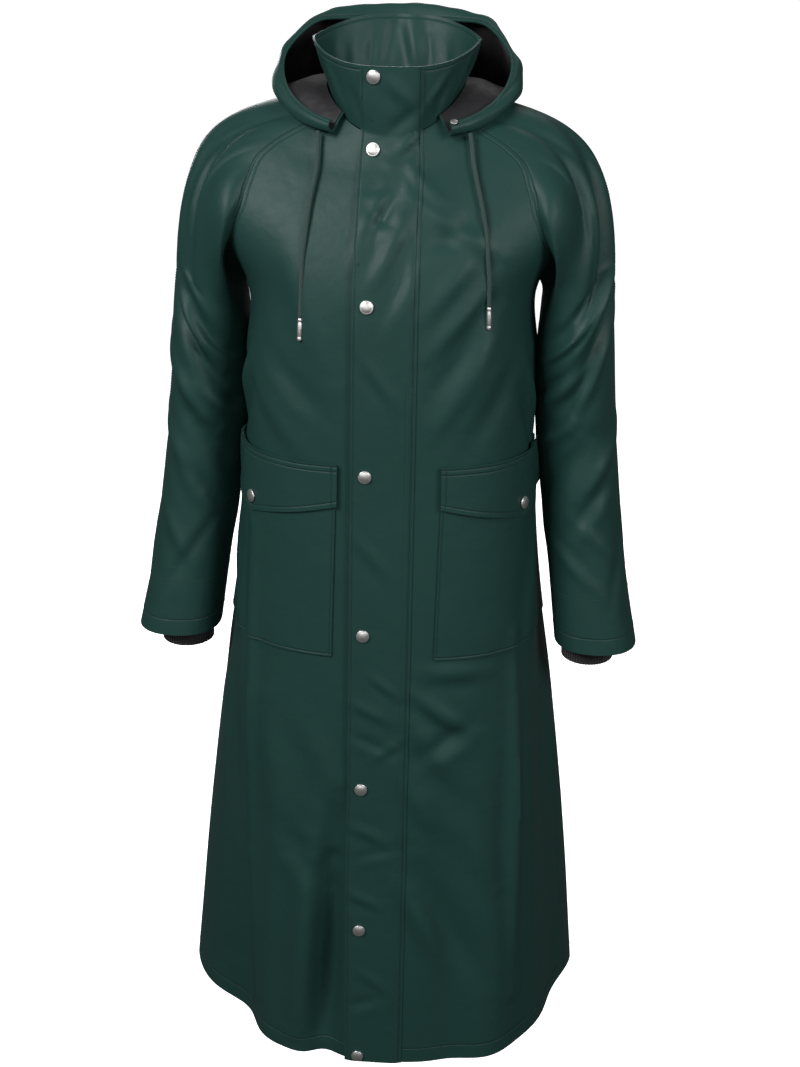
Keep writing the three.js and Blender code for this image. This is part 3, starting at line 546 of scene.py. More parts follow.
# %% Grid, wall and mesh
def steps(low, high, count, edge=None):
    """Even steps, with an extra one close to each end where edge gives its share of a step."""
    values = np.linspace(low, high, count + 1)
    if edge is None:
        return values
    small = (high - low) * edge
    return np.concatenate([[low, low + small], values[1:-1], [high - small, high]])


def travelled(points, axis):
    """The distance along the cloth from the first row or column, summed over its steps."""
    lengths = np.linalg.norm(np.diff(points, axis=axis), axis=-1)
    pad = [(0, 0), (0, 0)]
    pad[axis] = (1, 0)
    return np.pad(np.cumsum(lengths, axis=axis), pad)


def grid_of(point, across, down, side=1, normal=None):
    """Points, normals and the distances from the edges, in metres, for a surface on a grid."""
    a, d = np.meshgrid(across, down)
    points = point(a, d) * MM
    normals = normal(a, d) if normal else normal_at(point, a, d, side)
    from_left, from_top = travelled(points, 1), travelled(points, 0)
    return {
        "points": points,
        "normals": normals,
        "side": side,
        "from_left": from_left,
        "from_right": from_left[:, -1:] - from_left,
        "from_top": from_top,
        "from_bottom": from_top[-1:] - from_top,
    }


EDGES = ("from_left", "from_right", "from_top", "from_bottom")


def quads(a, b, c, d, side):
    """Quads of four index arrays, turned round on a mirrored side."""
    order = (a, b, c, d) if side > 0 else (a, d, c, b)
    return np.stack(order, axis=-1).reshape(-1, 4)


def wall(name, grid, thick, closed=False):
    """The grid as a closed wall: its outer face, an inner face a thickness behind it, and the rim."""
    outer, normals, side = grid["points"], grid["normals"], grid["side"]
    rows, columns = outer.shape[:2]
    inner = outer - normals * thick * MM
    index = np.arange(rows * columns).reshape(rows, columns)
    if closed:
        index = np.column_stack([index, index[:, 0]])
    back = index + rows * columns
    faces = [quads(index[:-1, :-1], index[1:, :-1], index[1:, 1:], index[:-1, 1:], side)]
    faces.append(quads(back[:-1, :-1], back[:-1, 1:], back[1:, 1:], back[1:, :-1], side))
    faces.append(quads(index[0, :-1], index[0, 1:], back[0, 1:], back[0, :-1], side))
    faces.append(quads(index[-1, 1:], index[-1, :-1], back[-1, :-1], back[-1, 1:], side))
    if not closed:
        faces.append(quads(index[1:, 0], index[:-1, 0], back[:-1, 0], back[1:, 0], side))
        faces.append(quads(index[:-1, -1], index[1:, -1], back[1:, -1], back[:-1, -1], side))
    return mesh_of(name, np.concatenate([outer, inner]).reshape(-1, 3), np.concatenate(faces), grid)


def mesh_of(name, points, faces, grid=None, sharp=50):
    """A mesh of points and quads, smooth but for edges sharper than an angle, with cloth distances."""
    mesh = bpy.data.meshes.new(name)
    mesh.vertices.add(len(points))
    mesh.vertices.foreach_set("co", np.ascontiguousarray(points, np.float32).ravel())
    mesh.loops.add(faces.size)
    mesh.loops.foreach_set("vertex_index", np.ascontiguousarray(faces, np.int32).ravel())
    mesh.polygons.add(len(faces))
    size = faces.shape[1]
    mesh.polygons.foreach_set("loop_start", np.arange(len(faces), dtype=np.int32) * size)
    mesh.update(calc_edges=True)
    mesh.polygons.foreach_set("use_smooth", np.ones(len(faces), bool))
    if grid is not None:
        for edge in EDGES:
            twice = np.concatenate([grid[edge], grid[edge]]).astype(np.float32)
            mesh.attributes.new(edge, "FLOAT", "POINT").data.foreach_set("value", twice.ravel())
        flat = np.stack([grid["from_left"], grid["from_top"]], axis=-1).reshape(-1, 2)
        uv = np.concatenate([flat, flat])[faces.ravel()]
        mesh.uv_layers.new(name="cloth").data.foreach_set("uv", uv.astype(np.float32).ravel())
    mesh.set_sharp_from_angle(angle=math.radians(sharp))
    mesh.validate()
    piece = bpy.data.objects.new(name, mesh)
    scene.collection.objects.link(piece)
    return piece


def dress(piece, material, slot, *stands_for):
    """Gives a piece its material and puts it in place of its CAD nodes; the slot is not used."""
    piece.data.materials.append(material)
    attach(piece, "root")
    if stands_for:
        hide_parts(*stands_for)
    return piece


CUTS = {}


def cloth_piece(name, grid, thick, material, slot, stands_for, closed=False):
    """A wall of cloth, whose grid is kept in CUTS under its name."""
    CUTS[name] = grid
    piece = dress(wall(name, grid, thick, closed), material, slot, *stands_for)
    return piece

# %% [markdown]
# ## Finishes
#
# The coat is cotton with a soft coating: dark green, with a satin sheen and a fine pebbled grain. Sewn
# lines press a narrow groove into it. Each finish is built from nodes: heights in metres are added up
# and go into one bump, and the seams are drawn at their real distance from an edge, which the cloth
# carries as an attribute.

# %% Node helpers
def new_finish(name, color, roughness, **sockets):
    """A material with one shader, whose even values are set on the shader itself."""
    finish = bpy.data.materials.new(name)
    finish.use_nodes = True
    shader = finish.node_tree.nodes["Principled BSDF"]
    shader.inputs["Base Color"].default_value = (*color, 1)
    shader.inputs["Roughness"].default_value = roughness
    for socket, value in sockets.items():
        shader.inputs[socket.replace("_", " ")].default_value = value
    return finish, finish.node_tree, shader


def put(tree, kind, inputs=(), **settings):
    """Adds a node. Inputs are (socket, value or output) pairs."""
    node = tree.nodes.new(kind)
    for name, value in settings.items():
        setattr(node, name, value)
    for socket, value in inputs:
        if isinstance(value, bpy.types.NodeSocket):
            tree.links.new(value, node.inputs[socket])
        else:
            node.inputs[socket].default_value = value
    return node


def calc(tree, operation, a, b=0.0):
    return put(tree, "ShaderNodeMath", [(0, a), (1, b)], operation=operation).outputs[0]


def noise(tree, scale, detail=2.0, roughness=0.5, stretch=None):
    """Noise in the object's own space, of so many waves a metre, stretched along an axis."""
    place = put(tree, "ShaderNodeTexCoord").outputs["Object"]
    if stretch:
        place = put(tree, "ShaderNodeMapping", [("Vector", place), ("Scale", stretch)]).outputs[0]
    sockets = [("Vector", place), ("Scale", scale), ("Detail", detail), ("Roughness", roughness)]
    return put(tree, "ShaderNodeTexNoise", sockets).outputs["Fac"]


def sewn_groove(tree, edge, distance, width=0.0009):
    """A groove exp(-((e - d) / w)^2) at a distance d from an edge of the cloth."""
    from_edge = put(tree, "ShaderNodeAttribute", attribute_name=edge).outputs["Fac"]
    off = calc(tree, "DIVIDE", calc(tree, "SUBTRACT", from_edge, distance), width)
    return calc(tree, "EXPONENT", calc(tree, "MULTIPLY", calc(tree, "MULTIPLY", off, off), -1.0))


def total(tree, parts):
    """The sum of (output, share) pairs."""
    found = 0.0
    for output, share in parts:
        found = calc(tree, "ADD", calc(tree, "MULTIPLY", output, share), found)
    return found


def bump(tree, shader, height):
    normal = put(tree, "ShaderNodeBump", [("Height", height), ("Distance", 1.0), ("Strength", 1.0)])
    tree.links.new(normal.outputs[0], shader.inputs["Normal"])


def tint(tree, shader, share, dark, light):
    """The base colour between a dark and a light tone."""
    mixed = put(tree, "ShaderNodeMix", [(0, share), (6, (*dark, 1)), (7, (*light, 1))], data_type="RGBA")
    tree.links.new(mixed.outputs[2], shader.inputs["Base Color"])


# %% Coated cloth
GREEN, GREEN_DARK, GREEN_LIGHT = (0.0122, 0.0425, 0.0368), (0.0103, 0.036, 0.031), (0.0142, 0.049, 0.0425)


def coated_cloth(name, lines=()):
    """The coat's cloth, with sewn lines as (edge, metres from it)."""
    finish, tree, shader = new_finish(name, GREEN, 0.5, Specular_IOR_Level=0.2, Coat_Weight=0.01,
                                      Coat_Roughness=0.4)
    wrinkles = noise(tree, 26, 3.0, 0.55)
    small = noise(tree, 95, 3.0, 0.6)
    grain = noise(tree, 1300, 1.0)
    worn = noise(tree, 9, 4.0, 0.6)
    tint(tree, shader, calc(tree, "ADD", worn, 0.5), GREEN_DARK, GREEN_LIGHT)
    heights = [(wrinkles, 0.0013), (small, 0.00020), (grain, 0.00005)]
    heights += [(sewn_groove(tree, edge, distance), -0.0006) for edge, distance in lines]
    bump(tree, shader, total(tree, heights))
    rough = calc(tree, "ADD", calc(tree, "MULTIPLY", small, 0.14), 0.42)
    tree.links.new(rough, shader.inputs["Roughness"])
    return finish


front_cloth = coated_cloth("front_cloth", [("from_bottom", 0.02), ("from_right", 0.004)])
print("coated cloth with", len(front_cloth.node_tree.nodes), "nodes")

# %% Knit, lining, metal and cord
def knitted():
    """Rib knit: loops in columns, drawn with waves round (u) and down (v) the cuff."""
    finish, tree, shader = new_finish("rib_knit", (0.006, 0.0055, 0.006), 0.92, Sheen_Weight=0.25)
    place = put(tree, "ShaderNodeSeparateXYZ", [(0, put(tree, "ShaderNodeUVMap", uv_map="cloth").outputs[0])])
    u, v = place.outputs[0], place.outputs[1]
    lean = calc(tree, "ABSOLUTE", calc(tree, "SINE", calc(tree, "MULTIPLY", u, 1900.0)))
    row = calc(tree, "ADD", calc(tree, "MULTIPLY", v, 2600.0), calc(tree, "MULTIPLY", lean, 1.6))
    loops = calc(tree, "SINE", row)
    bump(tree, shader, total(tree, [(loops, 0.0002), (lean, 0.0003), (noise(tree, 900), 0.0002)]))
    tint(tree, shader, noise(tree, 60, 3.0), (0.004, 0.0037, 0.004), (0.010, 0.009, 0.010))
    return finish


def lining_cloth():
    """Smooth dark lining, a little plum, greyer towards the neck seam."""
    finish, tree, shader = new_finish("lining_cloth", (0.005, 0.004, 0.005), 0.55, Sheen_Weight=0.1)
    to_neck = put(tree, "ShaderNodeAttribute", attribute_name="from_bottom").outputs["Fac"]
    grey = put(tree, "ShaderNodeMapRange", [(0, to_neck), (1, 0.075), (2, 0.03)]).outputs[0]
    tint(tree, shader, grey, (0.0035, 0.0027, 0.0035), (0.008, 0.0065, 0.0082))
    bump(tree, shader, total(tree, [(noise(tree, 24, 3.0), 0.004), (noise(tree, 1500, 1.0), 0.00005)]))
    return finish


def snap_metal():
    """Brushed plated brass: fine scratches and a few dull patches."""
    finish, tree, shader = new_finish("snap_metal", (0.86, 0.85, 0.83), 0.4, Metallic=1.0)
    scratches = noise(tree, 1500, 2.0, 0.6, (1, 1, 0.15))
    rough = calc(tree, "ADD", calc(tree, "MULTIPLY", noise(tree, 260, 3.0), 0.16), 0.34)
    tree.links.new(rough, shader.inputs["Roughness"])
    bump(tree, shader, total(tree, [(scratches, 0.00002)]))
    return finish


def cord_yarn():
    """A round braid: strands cross left and right round the cord, |sin| of two slanting waves."""
    finish, tree, shader = new_finish("cord_yarn", (0.013, 0.04, 0.034), 0.75, Sheen_Weight=0.2)
    place = put(tree, "ShaderNodeSeparateXYZ", [(0, put(tree, "ShaderNodeUVMap", uv_map="cloth").outputs[0])])
    round_it = calc(tree, "MULTIPLY", place.outputs[0], 1820.0)
    down = calc(tree, "MULTIPLY", place.outputs[1], 1900.0)
    one = calc(tree, "ABSOLUTE", calc(tree, "SINE", calc(tree, "ADD", round_it, down)))
    two = calc(tree, "ABSOLUTE", calc(tree, "SINE", calc(tree, "SUBTRACT", round_it, down)))
    strands = calc(tree, "MAXIMUM", one, two)
    bump(tree, shader, total(tree, [(strands, 0.0004), (noise(tree, 2200, 1.0), 0.00008)]))
    # The base colour follows the strands' height: darker in the grooves between them, which is painted shade,
    # and lighter on their crowns, which is a painted highlight.
    tint(tree, shader, strands, (0.008, 0.026, 0.022), (0.018, 0.052, 0.044))
    return finish


KNIT, LINING_CLOTH, METAL, YARN = knitted(), lining_cloth(), snap_metal(), cord_yarn()
print("finishes:", [finish.name for finish in bpy.data.materials if finish.users or finish.use_nodes][:12])

# %% [markdown]
# ## Draw cords
#
# Two braided cords hang out of the hood's front corners, with a metal tip on each. Their real routes
# are settled in the CAD model, and the same points are repeated here in metres. A cord is a round
# section carried along a smooth curve through its points.

# %% Cords
CORD_RADIUS, TIP_RADIUS, TIP_LENGTH = 0.0022, 0.0027, 0.025
CORD_ROUTES = {
    "left": [
        (0.0855, -0.0715, -0.036), (0.0875, -0.0765, -0.046), (0.0895, -0.0845, -0.06),
        (0.093, -0.093, -0.075), (0.097, -0.101, -0.09), (0.101, -0.1075, -0.104),
        (0.104, -0.1125, -0.117), (0.107, -0.1165, -0.13), (0.1088, -0.1198, -0.143),
        (0.1098, -0.1229, -0.156), (0.1113, -0.1246, -0.17), (0.1124, -0.1254, -0.184),
        (0.1127, -0.1258, -0.197), (0.113, -0.1261, -0.21),
    ],
    "right": [
        (-0.078, -0.075, -0.0372), (-0.0775, -0.0795, -0.047), (-0.077, -0.0845, -0.057),
        (-0.077, -0.0905, -0.068), (-0.078, -0.0975, -0.08), (-0.08, -0.1038, -0.092),
        (-0.082, -0.1098, -0.105), (-0.0835, -0.1157, -0.118), (-0.085, -0.1209, -0.132),
        (-0.0865, -0.1253, -0.146), (-0.088, -0.1293, -0.16), (-0.0885, -0.1327, -0.175),
        (-0.089, -0.1352, -0.19), (-0.0895, -0.1371, -0.208), (-0.09, -0.1386, -0.226),
    ],
}


def smooth_path(points, count):
    """A Catmull-Rom curve through points, at even places between them."""
    columns = table("x y z", points)
    found = read(columns, np.linspace(0, len(points) - 1, count))
    return np.stack([found["x"], found["y"], found["z"]], axis=-1)


def tube(name, path, radii, sides, capped=True):
    """A round section carried along a path: centre + radius (cos t side + sin t other).

    side and other are square to the path, and side is kept from turning by being taken from +X."""
    along = unit(np.gradient(path, axis=0))
    side = unit(np.cross(along, np.cross([1.0, 0, 0], along)))
    other = np.cross(along, side)
    turn = np.linspace(0, 2 * np.pi, sides, endpoint=False)
    ring = side[:, None] * np.cos(turn)[:, None] + other[:, None] * np.sin(turn)[:, None]
    points = path[:, None] + ring * np.asarray(radii)[:, None, None]
    index = np.arange(points.shape[0] * sides).reshape(-1, sides)
    wrapped = np.column_stack([index, index[:, 0]])
    faces = quads(wrapped[:-1, :-1], wrapped[:-1, 1:], wrapped[1:, 1:], wrapped[1:, :-1], 1)
    points = points.reshape(-1, 3)
    piece = mesh_of(name, points, faces)
    v = np.repeat(np.concatenate([[0], np.cumsum(np.linalg.norm(np.diff(path, axis=0), axis=1))]), sides)
    round_it = np.tile(np.arange(sides) / sides * 2 * np.pi * CORD_RADIUS, len(path))
    u = round_it[faces]
    u[:, 1:3] = np.where(u[:, 1:3] < u[:, :1], u[:, 1:3] + 2 * np.pi * CORD_RADIUS, u[:, 1:3])
    uv = np.stack([u, v[faces]], axis=-1)
    piece.data.uv_layers.new(name="cloth").data.foreach_set("uv", uv.astype(np.float32).ravel())
    return piece


def tip_piece(name, start, direction):
    """A crimped metal tube: its radius over its length, with rounded ends and two pressed rings."""
    t = np.array([0, 0, 0.02, 0.06, 0.14, 0.17, 0.19, 0.22, 0.5, 0.78, 0.81, 0.83, 0.86, 0.94, 0.98, 1, 1])
    r = np.array([0, 0.7, 0.92, 1, 1, 0.9, 0.9, 1, 1, 1, 0.9, 0.9, 1, 1, 0.92, 0.7, 0])
    path = start + direction * (t + 1e-5 * np.arange(len(t)))[:, None] * TIP_LENGTH
    return tube(name, path, np.maximum(r, 0.02) * TIP_RADIUS, 24)


for name in SIDES:
    route = smooth_path(CORD_ROUTES[name], 120)
    down = unit(route[-1] - route[-2])
    ends = np.full(120, CORD_RADIUS)
    ends[[0, -1]] = CORD_RADIUS * 0.05
    ends[[1, -2]] = CORD_RADIUS
    route[1], route[-2] = route[0] + 1e-5 * down, route[-1] - 1e-5 * down
    cord = dress(tube("drawcord_" + name, route, ends, 20), YARN, "cord_yarn", "cord_" + name)
    tip = tip_piece("drawcord_tip_" + name, route[-1] + down * 0.0005, down)
    dress(tip, METAL, "snap_metal", "cord_tip_" + name)

# %% [markdown]
# ## Fronts and back
#
# The two fronts and the back are the largest cuts. Each is a grid whose lines across follow the rings
# of the body, from its centre front or side edge to the armhole seam, and whose lines down run from
# the neck seam to the hem.

# %% Fronts and back
HEM_EDGE = [-1172.5, -1174.2]
PANEL_ROWS = row_at(np.concatenate([np.linspace(-40.4, -1170, 226), HEM_EDGE, [-1175]]))
PANEL_ACROSS = steps(0, 1, 60, 0.012)
BACK_ACROSS = steps(-1, 1, 110, 0.004)


def front_surface(side):
    def point(share, row):
        ring = read(BODY, row)
        centre = SEAM_GAP / 2 / ring["front"]
        edge = armhole_angle(row, "front") - SEAM_GAP / 2 / ring["half_width"]
        return creased_point(side * mix(centre, edge, share), row)
    return point


def back_surface(share, row):
    gap = SEAM_GAP / 2 / read(BODY, row)["half_width"]
    return creased_point(np.pi + share * (np.pi - armhole_angle(row, "back") - gap), row)


for name, side in SIDES.items():
    grid = grid_of(front_surface(side), PANEL_ACROSS, PANEL_ROWS, side)
    cloth_piece("front_panel_" + name, grid, CLOTH, front_cloth, "coat_cloth", ["front_" + name])
back_cloth = coated_cloth("back_cloth", [("from_bottom", 0.02)])
grid = grid_of(back_surface, BACK_ACROSS, PANEL_ROWS)
cloth_piece("back_panel", grid, CLOTH, back_cloth, "coat_cloth", ["back"])

# %% [markdown]
# ## Sleeves
#
# Each sleeve is a whole tube from the armhole to its hem.

# %% Sleeves
SLEEVE_ROUND = np.linspace(0, 2, 129)[:-1]
SLEEVE_DOWN = np.concatenate([np.linspace(0, 1, 42)[:-1], np.linspace(1, 6.94, 100), [6.975, 7]])
sleeve_cloth = coated_cloth("sleeve_cloth", [("from_bottom", 0.02), ("from_top", 0.003)])
for name, side in SIDES.items():
    surface = sleeve_surface(name, side)

    def sleeve_normal(going, down, surface=surface, side=side):
        return normal_at(surface, going, np.maximum(down, 0.02), side, 0.01)

    grid = grid_of(surface, SLEEVE_ROUND, SLEEVE_DOWN, side, sleeve_normal)
    stands_for = ["sleeve_front_" + name, "sleeve_back_" + name]
    cloth_piece("sleeve_" + name, grid, CLOTH, sleeve_cloth, "coat_cloth", stands_for, closed=True)

# %% [markdown]
# ## Cuffs
#
# A storm cuff of black rib knit is sewn in above the sleeve's hem, and it closes round the wrist.

# %% Cuffs
CUFF = dict(x=246, y=-30, radius=31, deep=33, top=-632, end=-662, wall=2)
CUFF_SEAM, CUFF_RIBS, RIB_HEIGHT = 5.45, 54, 0.8


def cuff_surface(side):
    """From the sleeve's inside in to the wrist, then straight down, with raised ribs round it."""
    def inside(going, down):
        return smooth_sleeve(going, down) - normal_at(smooth_sleeve, going, down) * (CLOTH + LAY + 0.9)

    def point(going, down):
        turn = going * np.pi
        lower = np.clip(down - 1, 0, None)
        x, y = CUFF["x"] - CUFF["radius"] * np.cos(turn), CUFF["y"] - CUFF["deep"] * np.sin(turn)
        wrist = np.stack([x, y, mix(CUFF["top"], CUFF["end"], lower)], axis=-1)
        seam = inside(going, np.full_like(going, 1 + CUFF_SEAM))
        at = mix(seam, wrist, np.clip(down, 0, 1)[..., None])
        rib = RIB_HEIGHT * (0.5 + 0.5 * np.cos(going * np.pi * CUFF_RIBS))
        away = unit(at - np.array([CUFF["x"], CUFF["y"], 0]) * np.array([1, 1, 0]) - at * np.array([0, 0, 1]))
        return (at + away * (rib - 0.4)[..., None]) * np.array([side, 1, 1])
    return point


for name, side in SIDES.items():
    down = np.concatenate([np.linspace(0, 0.98, 12), np.linspace(1.02, 1.96, 12), [2]])
    grid = grid_of(cuff_surface(side), np.linspace(0, 2, 325)[:-1], down, side)
    cloth_piece("storm_cuff_" + name, grid, CUFF["wall"], KNIT, "rib_knit", ["cuff_" + name],
                closed=True)

# %% [markdown]
# ## Collar
#
# The stand-up collar is two layers, stitched 5 mm inside its free edge.

# %% Collar
COLLAR = table(RING, [
    (-40, 0, 10, 72, 84, 58, 2.05, 2),
    (-4, 28, 42, 83, 89, 67, 2.05, 2),
    (33, 54, 73, 92, 92, 76, 2.05, 3.6),
])
COLLAR_REACH = 85
COLLAR_CREASES = table(CREASE, [
    (162, 4, 174, 66, 11, -5.0), (196, 6, 186, 60, 10, 2.6), (148, 8, 158, 48, 8, 2.4),
    (212, 8, 204, 46, 8, 2.2), (118, 6, 128, 40, 8, -2.2), (242, 8, 232, 42, 8, -2.2),
    (52, 8, 66, 48, 7, 2.4), (34, 6, 44, 36, 6, -2.4), (24, 20, 44, 52, 6, 2.2), (320, 8, 308, 48, 7, 2.4),
    (338, 10, 330, 46, 7, -2.0), (84, 10, 92, 50, 8, 2.0), (276, 10, 268, 50, 8, 2.0),
])


def collar_point(angle, height):
    """A ring of the collar, with creases placed by degrees round it and by millimetres up it."""
    at = ring_point(read(COLLAR, height), angle)
    low = ring_point(read(COLLAR, 0 * height), angle)[..., 2]
    around = np.radians(np.degrees(angle) % 360) * COLLAR_REACH
    out = crease(laid_round(COLLAR_CREASES, COLLAR_REACH), around, at[..., 2] - low)
    away = unit(at * np.array([1, 1, 0]))
    return at + away * (out * smoothstep(height, 0.02, 0.3))[..., None]


collar_cloth = coated_cloth("collar_cloth", [("from_top", 0.005)])
gap = 0.25 / 84
down = np.concatenate([[0, 0.02, 0.06], np.linspace(0.1, 1.985, 34)])
around = np.linspace(gap, 2 * np.pi - gap, 180)
grid = grid_of(lambda angle, down: collar_point(angle, 2 - down), around, down)
cloth_piece("stand_collar", grid, DOUBLE_CLOTH, collar_cloth, "coat_cloth", ["collar"])

# %% [markdown]
# ## Storm placket
#
# The placket covers the front opening. It is stitched down along one side, and snaps shut near the
# other side, so that side stands off a little and ripples between the snaps.

# %% Placket
PLACKET = dict(free=-33, stitched=38, lift=2.5)
SNAP_X = -17
SNAP_HEIGHTS = [20, -54, -210, -400, -591, -788, -982, -1166]
PLACKET_CREASES = table(CREASE, [
    (-14, -196, 26, -112, 9, 4.6), (-24, -150, 14, -92, 7, -3.2), (-4, -232, 28, -164, 8, -3.0),
    (4, -60, 34, -34, 6, 3.4), (-4, -38, 30, -10, 6, -3.0), (-26, -40, 8, -66, 7, 2.6),
    (-6, 22, 26, -8, 7, 2.4),
    (-30, -96, 10, -88, 6, -2.0), (-22, -262, 18, -320, 7, 1.8), (-28, -470, 14, -520, 8, 1.6),
    (-8, -640, 26, -668, 6, 2.2), (-28, -676, 16, -700, 7, 2.2), (-30, -716, 20, -742, 6, -2.0),
    (-4, -750, 30, -722, 6, 1.8), (-30, -836, 12, -858, 7, 2.2), (-20, -880, 24, -868, 6, -1.8),
    (-30, -930, 8, -948, 7, 2.2), (-16, -1040, 20, -1070, 7, 1.8), (-30, -1096, 6, -1080, 7, -1.8),
])


def collar_row(z):
    return -2 * (z + 40) / 73


def front_row(z):
    """The row of the front's middle at a height: negative on the collar, positive on the body."""
    return np.where(z > -40, collar_row(np.asarray(z, float)), row_at(z))


def middle_point(x, row):
    body_ring, collar_ring = read(BODY, np.maximum(row, 0)), read(COLLAR, np.clip(-row, 0, 2))
    on_body = creased_point(np.arctan2(x, body_ring["front"]), np.maximum(row, 0))
    on_collar = collar_point(np.arctan2(x, collar_ring["front"]), np.clip(-row, 0, 2))
    return np.where((row < 0)[..., None], on_collar, on_body)


def placket_point(x, row):
    """The front moved out by two layers, a lift at the free edge, and ripples between the snaps."""
    x, row = np.broadcast_arrays(np.asarray(x, float), np.asarray(row, float))
    at = middle_point(x, row)
    z = at[..., 2]
    free = smoothstep(-x, 0, -PLACKET["free"])
    held = np.zeros_like(z)
    for height in SNAP_HEIGHTS:
        held = np.maximum(held, np.exp(-((z - height) ** 2 + (x - SNAP_X) ** 2) / 16**2))
    ripple = crease(PLACKET_CREASES, x, z) * (1 - held)
    stitched = 1.7 * smoothstep(x, 29, 37)
    lifted = PLACKET["lift"] * free * smoothstep(row, 0.5, 3)
    out = LAY + DOUBLE_CLOTH + lifted + ripple - stitched - 0.5 * held
    return at + normal_at(middle_point, x, row) * out[..., None]


placket_cloth = coated_cloth("placket_cloth", [("from_right", 0.0035), ("from_left", 0.003)])
zs = np.concatenate([[33, 32, 30.5], np.linspace(28, -1170, 296), HEM_EDGE, [-1175]])
grid = grid_of(placket_point, steps(PLACKET["free"], PLACKET["stitched"], 26, 0.014), front_row(zs))
cloth_piece("storm_placket", grid, DOUBLE_CLOTH, placket_cloth, "coat_cloth", ["placket"])

# %% [markdown]
# ## Pockets and flaps
#
# Two patch pockets lie on the fronts, and a flap with a shallow point snaps over each. They are cut
# from the front's own surface, moved out by the layers below, so they follow every fold of it.

# %% Pockets and flaps
POCKETS = {
    "left": dict(side=1, top=71, bottom=66, width=205),
    "right": dict(side=-1, top=50, bottom=54, width=215),
}
POCKET_TOP, POCKET_BOTTOM = -396, -620
FLAP_TOP, FLAP_END, FLAP_POINT, FLAP_SNAP, FLAP_SPARE = -387, -437, -462, -445, 0.012
FLAT_FRONT = 10
SEWN_ROUND = ("from_left", "from_right", "from_bottom")
pocket_cloth = coated_cloth("pocket_cloth", [(edge, 0.003) for edge in SEWN_ROUND])
flap_lines = [(edge, 0.006) for edge in SEWN_ROUND] + [("from_top", 0.003), ("from_top", 0.009)]
flap_cloth = coated_cloth("flap_cloth", flap_lines)
snap_places = []
for name, pocket in POCKETS.items():
    side = pocket["side"]
    ring = read(BODY, row_at(POCKET_TOP))
    start = math.atan2(pocket["top"], ring["front"])
    low_start = math.atan2(pocket["bottom"], read(BODY, row_at(POCKET_BOTTOM))["front"])
    end = start + pocket["width"] / ((ring["front"] + ring["half_width"]) / 2 + FLAT_FRONT)
    middle = (start + end) / 2

    def pocket_point(share, down, side=side, start=start, low_start=low_start, end=end):
        angle = mix(mix(start, low_start, down), end, share)
        row = row_at(mix(POCKET_TOP, POCKET_BOTTOM, down))
        away = normal_at(creased_point, side * angle, row)
        full = 1.5 * np.sin(np.pi * share) * np.sin(np.pi * np.clip(down, 0, 1)) ** 0.7
        return creased_point(side * angle, row) + away * (LAY + CLOTH + full)[..., None]

    def flap_point(share, down, side=side, start=start, end=end, middle=middle):
        angle = mix(start - FLAP_SPARE, end + FLAP_SPARE, share)
        pointed = np.abs(angle - middle) / (end - middle)
        row = row_at(mix(FLAP_TOP, mix(FLAP_POINT, FLAP_END, pointed), down))
        away = normal_at(creased_point, side * angle, row)
        full = 1.2 * np.sin(np.pi * share * 2.5) ** 2 * down
        out = 3 * LAY + CLOTH + DOUBLE_CLOTH + full
        return creased_point(side * angle, row) + away * out[..., None]

    grid = grid_of(pocket_point, steps(0, 1, 44, 0.008), steps(0, 1, 46, 0.006), side)
    cloth_piece("patch_pocket_" + name, grid, CLOTH, pocket_cloth, "coat_cloth", ["pocket_" + name])
    grid = grid_of(flap_point, steps(0, 1, 48, 0.008), steps(0, 1, 18, 0.02), side)
    cloth_piece("pocket_flap_" + name, grid, DOUBLE_CLOTH, flap_cloth, "coat_cloth", ["flap_" + name])
    share = np.array([0.5])
    down = np.array([(FLAP_SNAP - FLAP_TOP) / (FLAP_POINT - FLAP_TOP)])
    pressed_in = flap_point(share, down)[0], normal_at(flap_point, share, down, side)[0]
    snap_places.append(("pocket_snap_" + name, *pressed_in))

# %% [markdown]
# ## Hood
#
# The hood hangs back as an open pouch round the collar. At each angle round the neck its section is a
# curve through seven lines: the opening's edge, the roll, the widest and the lowest line, the layer
# that lies on the back, its rise, and the neck seam.

# %% Hood
HOOD = {
    "edge": [(102, -24), (111, -13), (121, 7), (125, 36), (110, 64), (97, 67), (90, 67), (88, 67)],
    "roll": [(105, -26), (115, -14), (127, 6), (132, 34), (119, 67), (110, 78), (103, 82), (100, 83)],
    "wide": [(107, -31), (119, -20), (134, -1), (139, 18), (133, 42), (127, 50), (123, 52), (121, 52)],
    "low": [(104, -37), (117, -29), (131, -9), (138, -4), (143, -10), (147, -30), (151, -60), (153, -75)],
    "lay": [(97, -36), (106, -27), (114, -4), (116, 0), (124, -12), (127, -46), (124, -88), (124, -108)],
    "rise": [(90, -27), (91, -12), (95, 4), (95, 7), (99, 5), (101, -4), (102, -32), (102, -40)],
}
HOOD_TABLES = {line: table("out z", rows) for line, rows in HOOD.items()}
HOOD_START, HOOD_SECOND, HOOD_STEP, HOOD_NECK = 38, 60, 20, 0.22
HOOD_REACH, LINE_REACH = 125, 40
HOOD_CREASES = table(CREASE, [
    (96, 30, 104, 84, 10, 3), (126, 20, 120, 110, 11, 3.4), (150, 40, 158, 170, 12, -3.4),
    (172, 30, 176, 200, 13, 3), (198, 40, 192, 190, 12, -3), (222, 20, 232, 140, 12, 3.2),
    (258, 24, 250, 96, 10, 3), (140, 100, 196, 150, 14, 3), (72, 10, 84, 50, 7, -2.2),
    (288, 12, 276, 56, 7, -2.2), (110, 60, 140, 80, 10, -2.6), (220, 90, 250, 64, 10, -2.6),
])


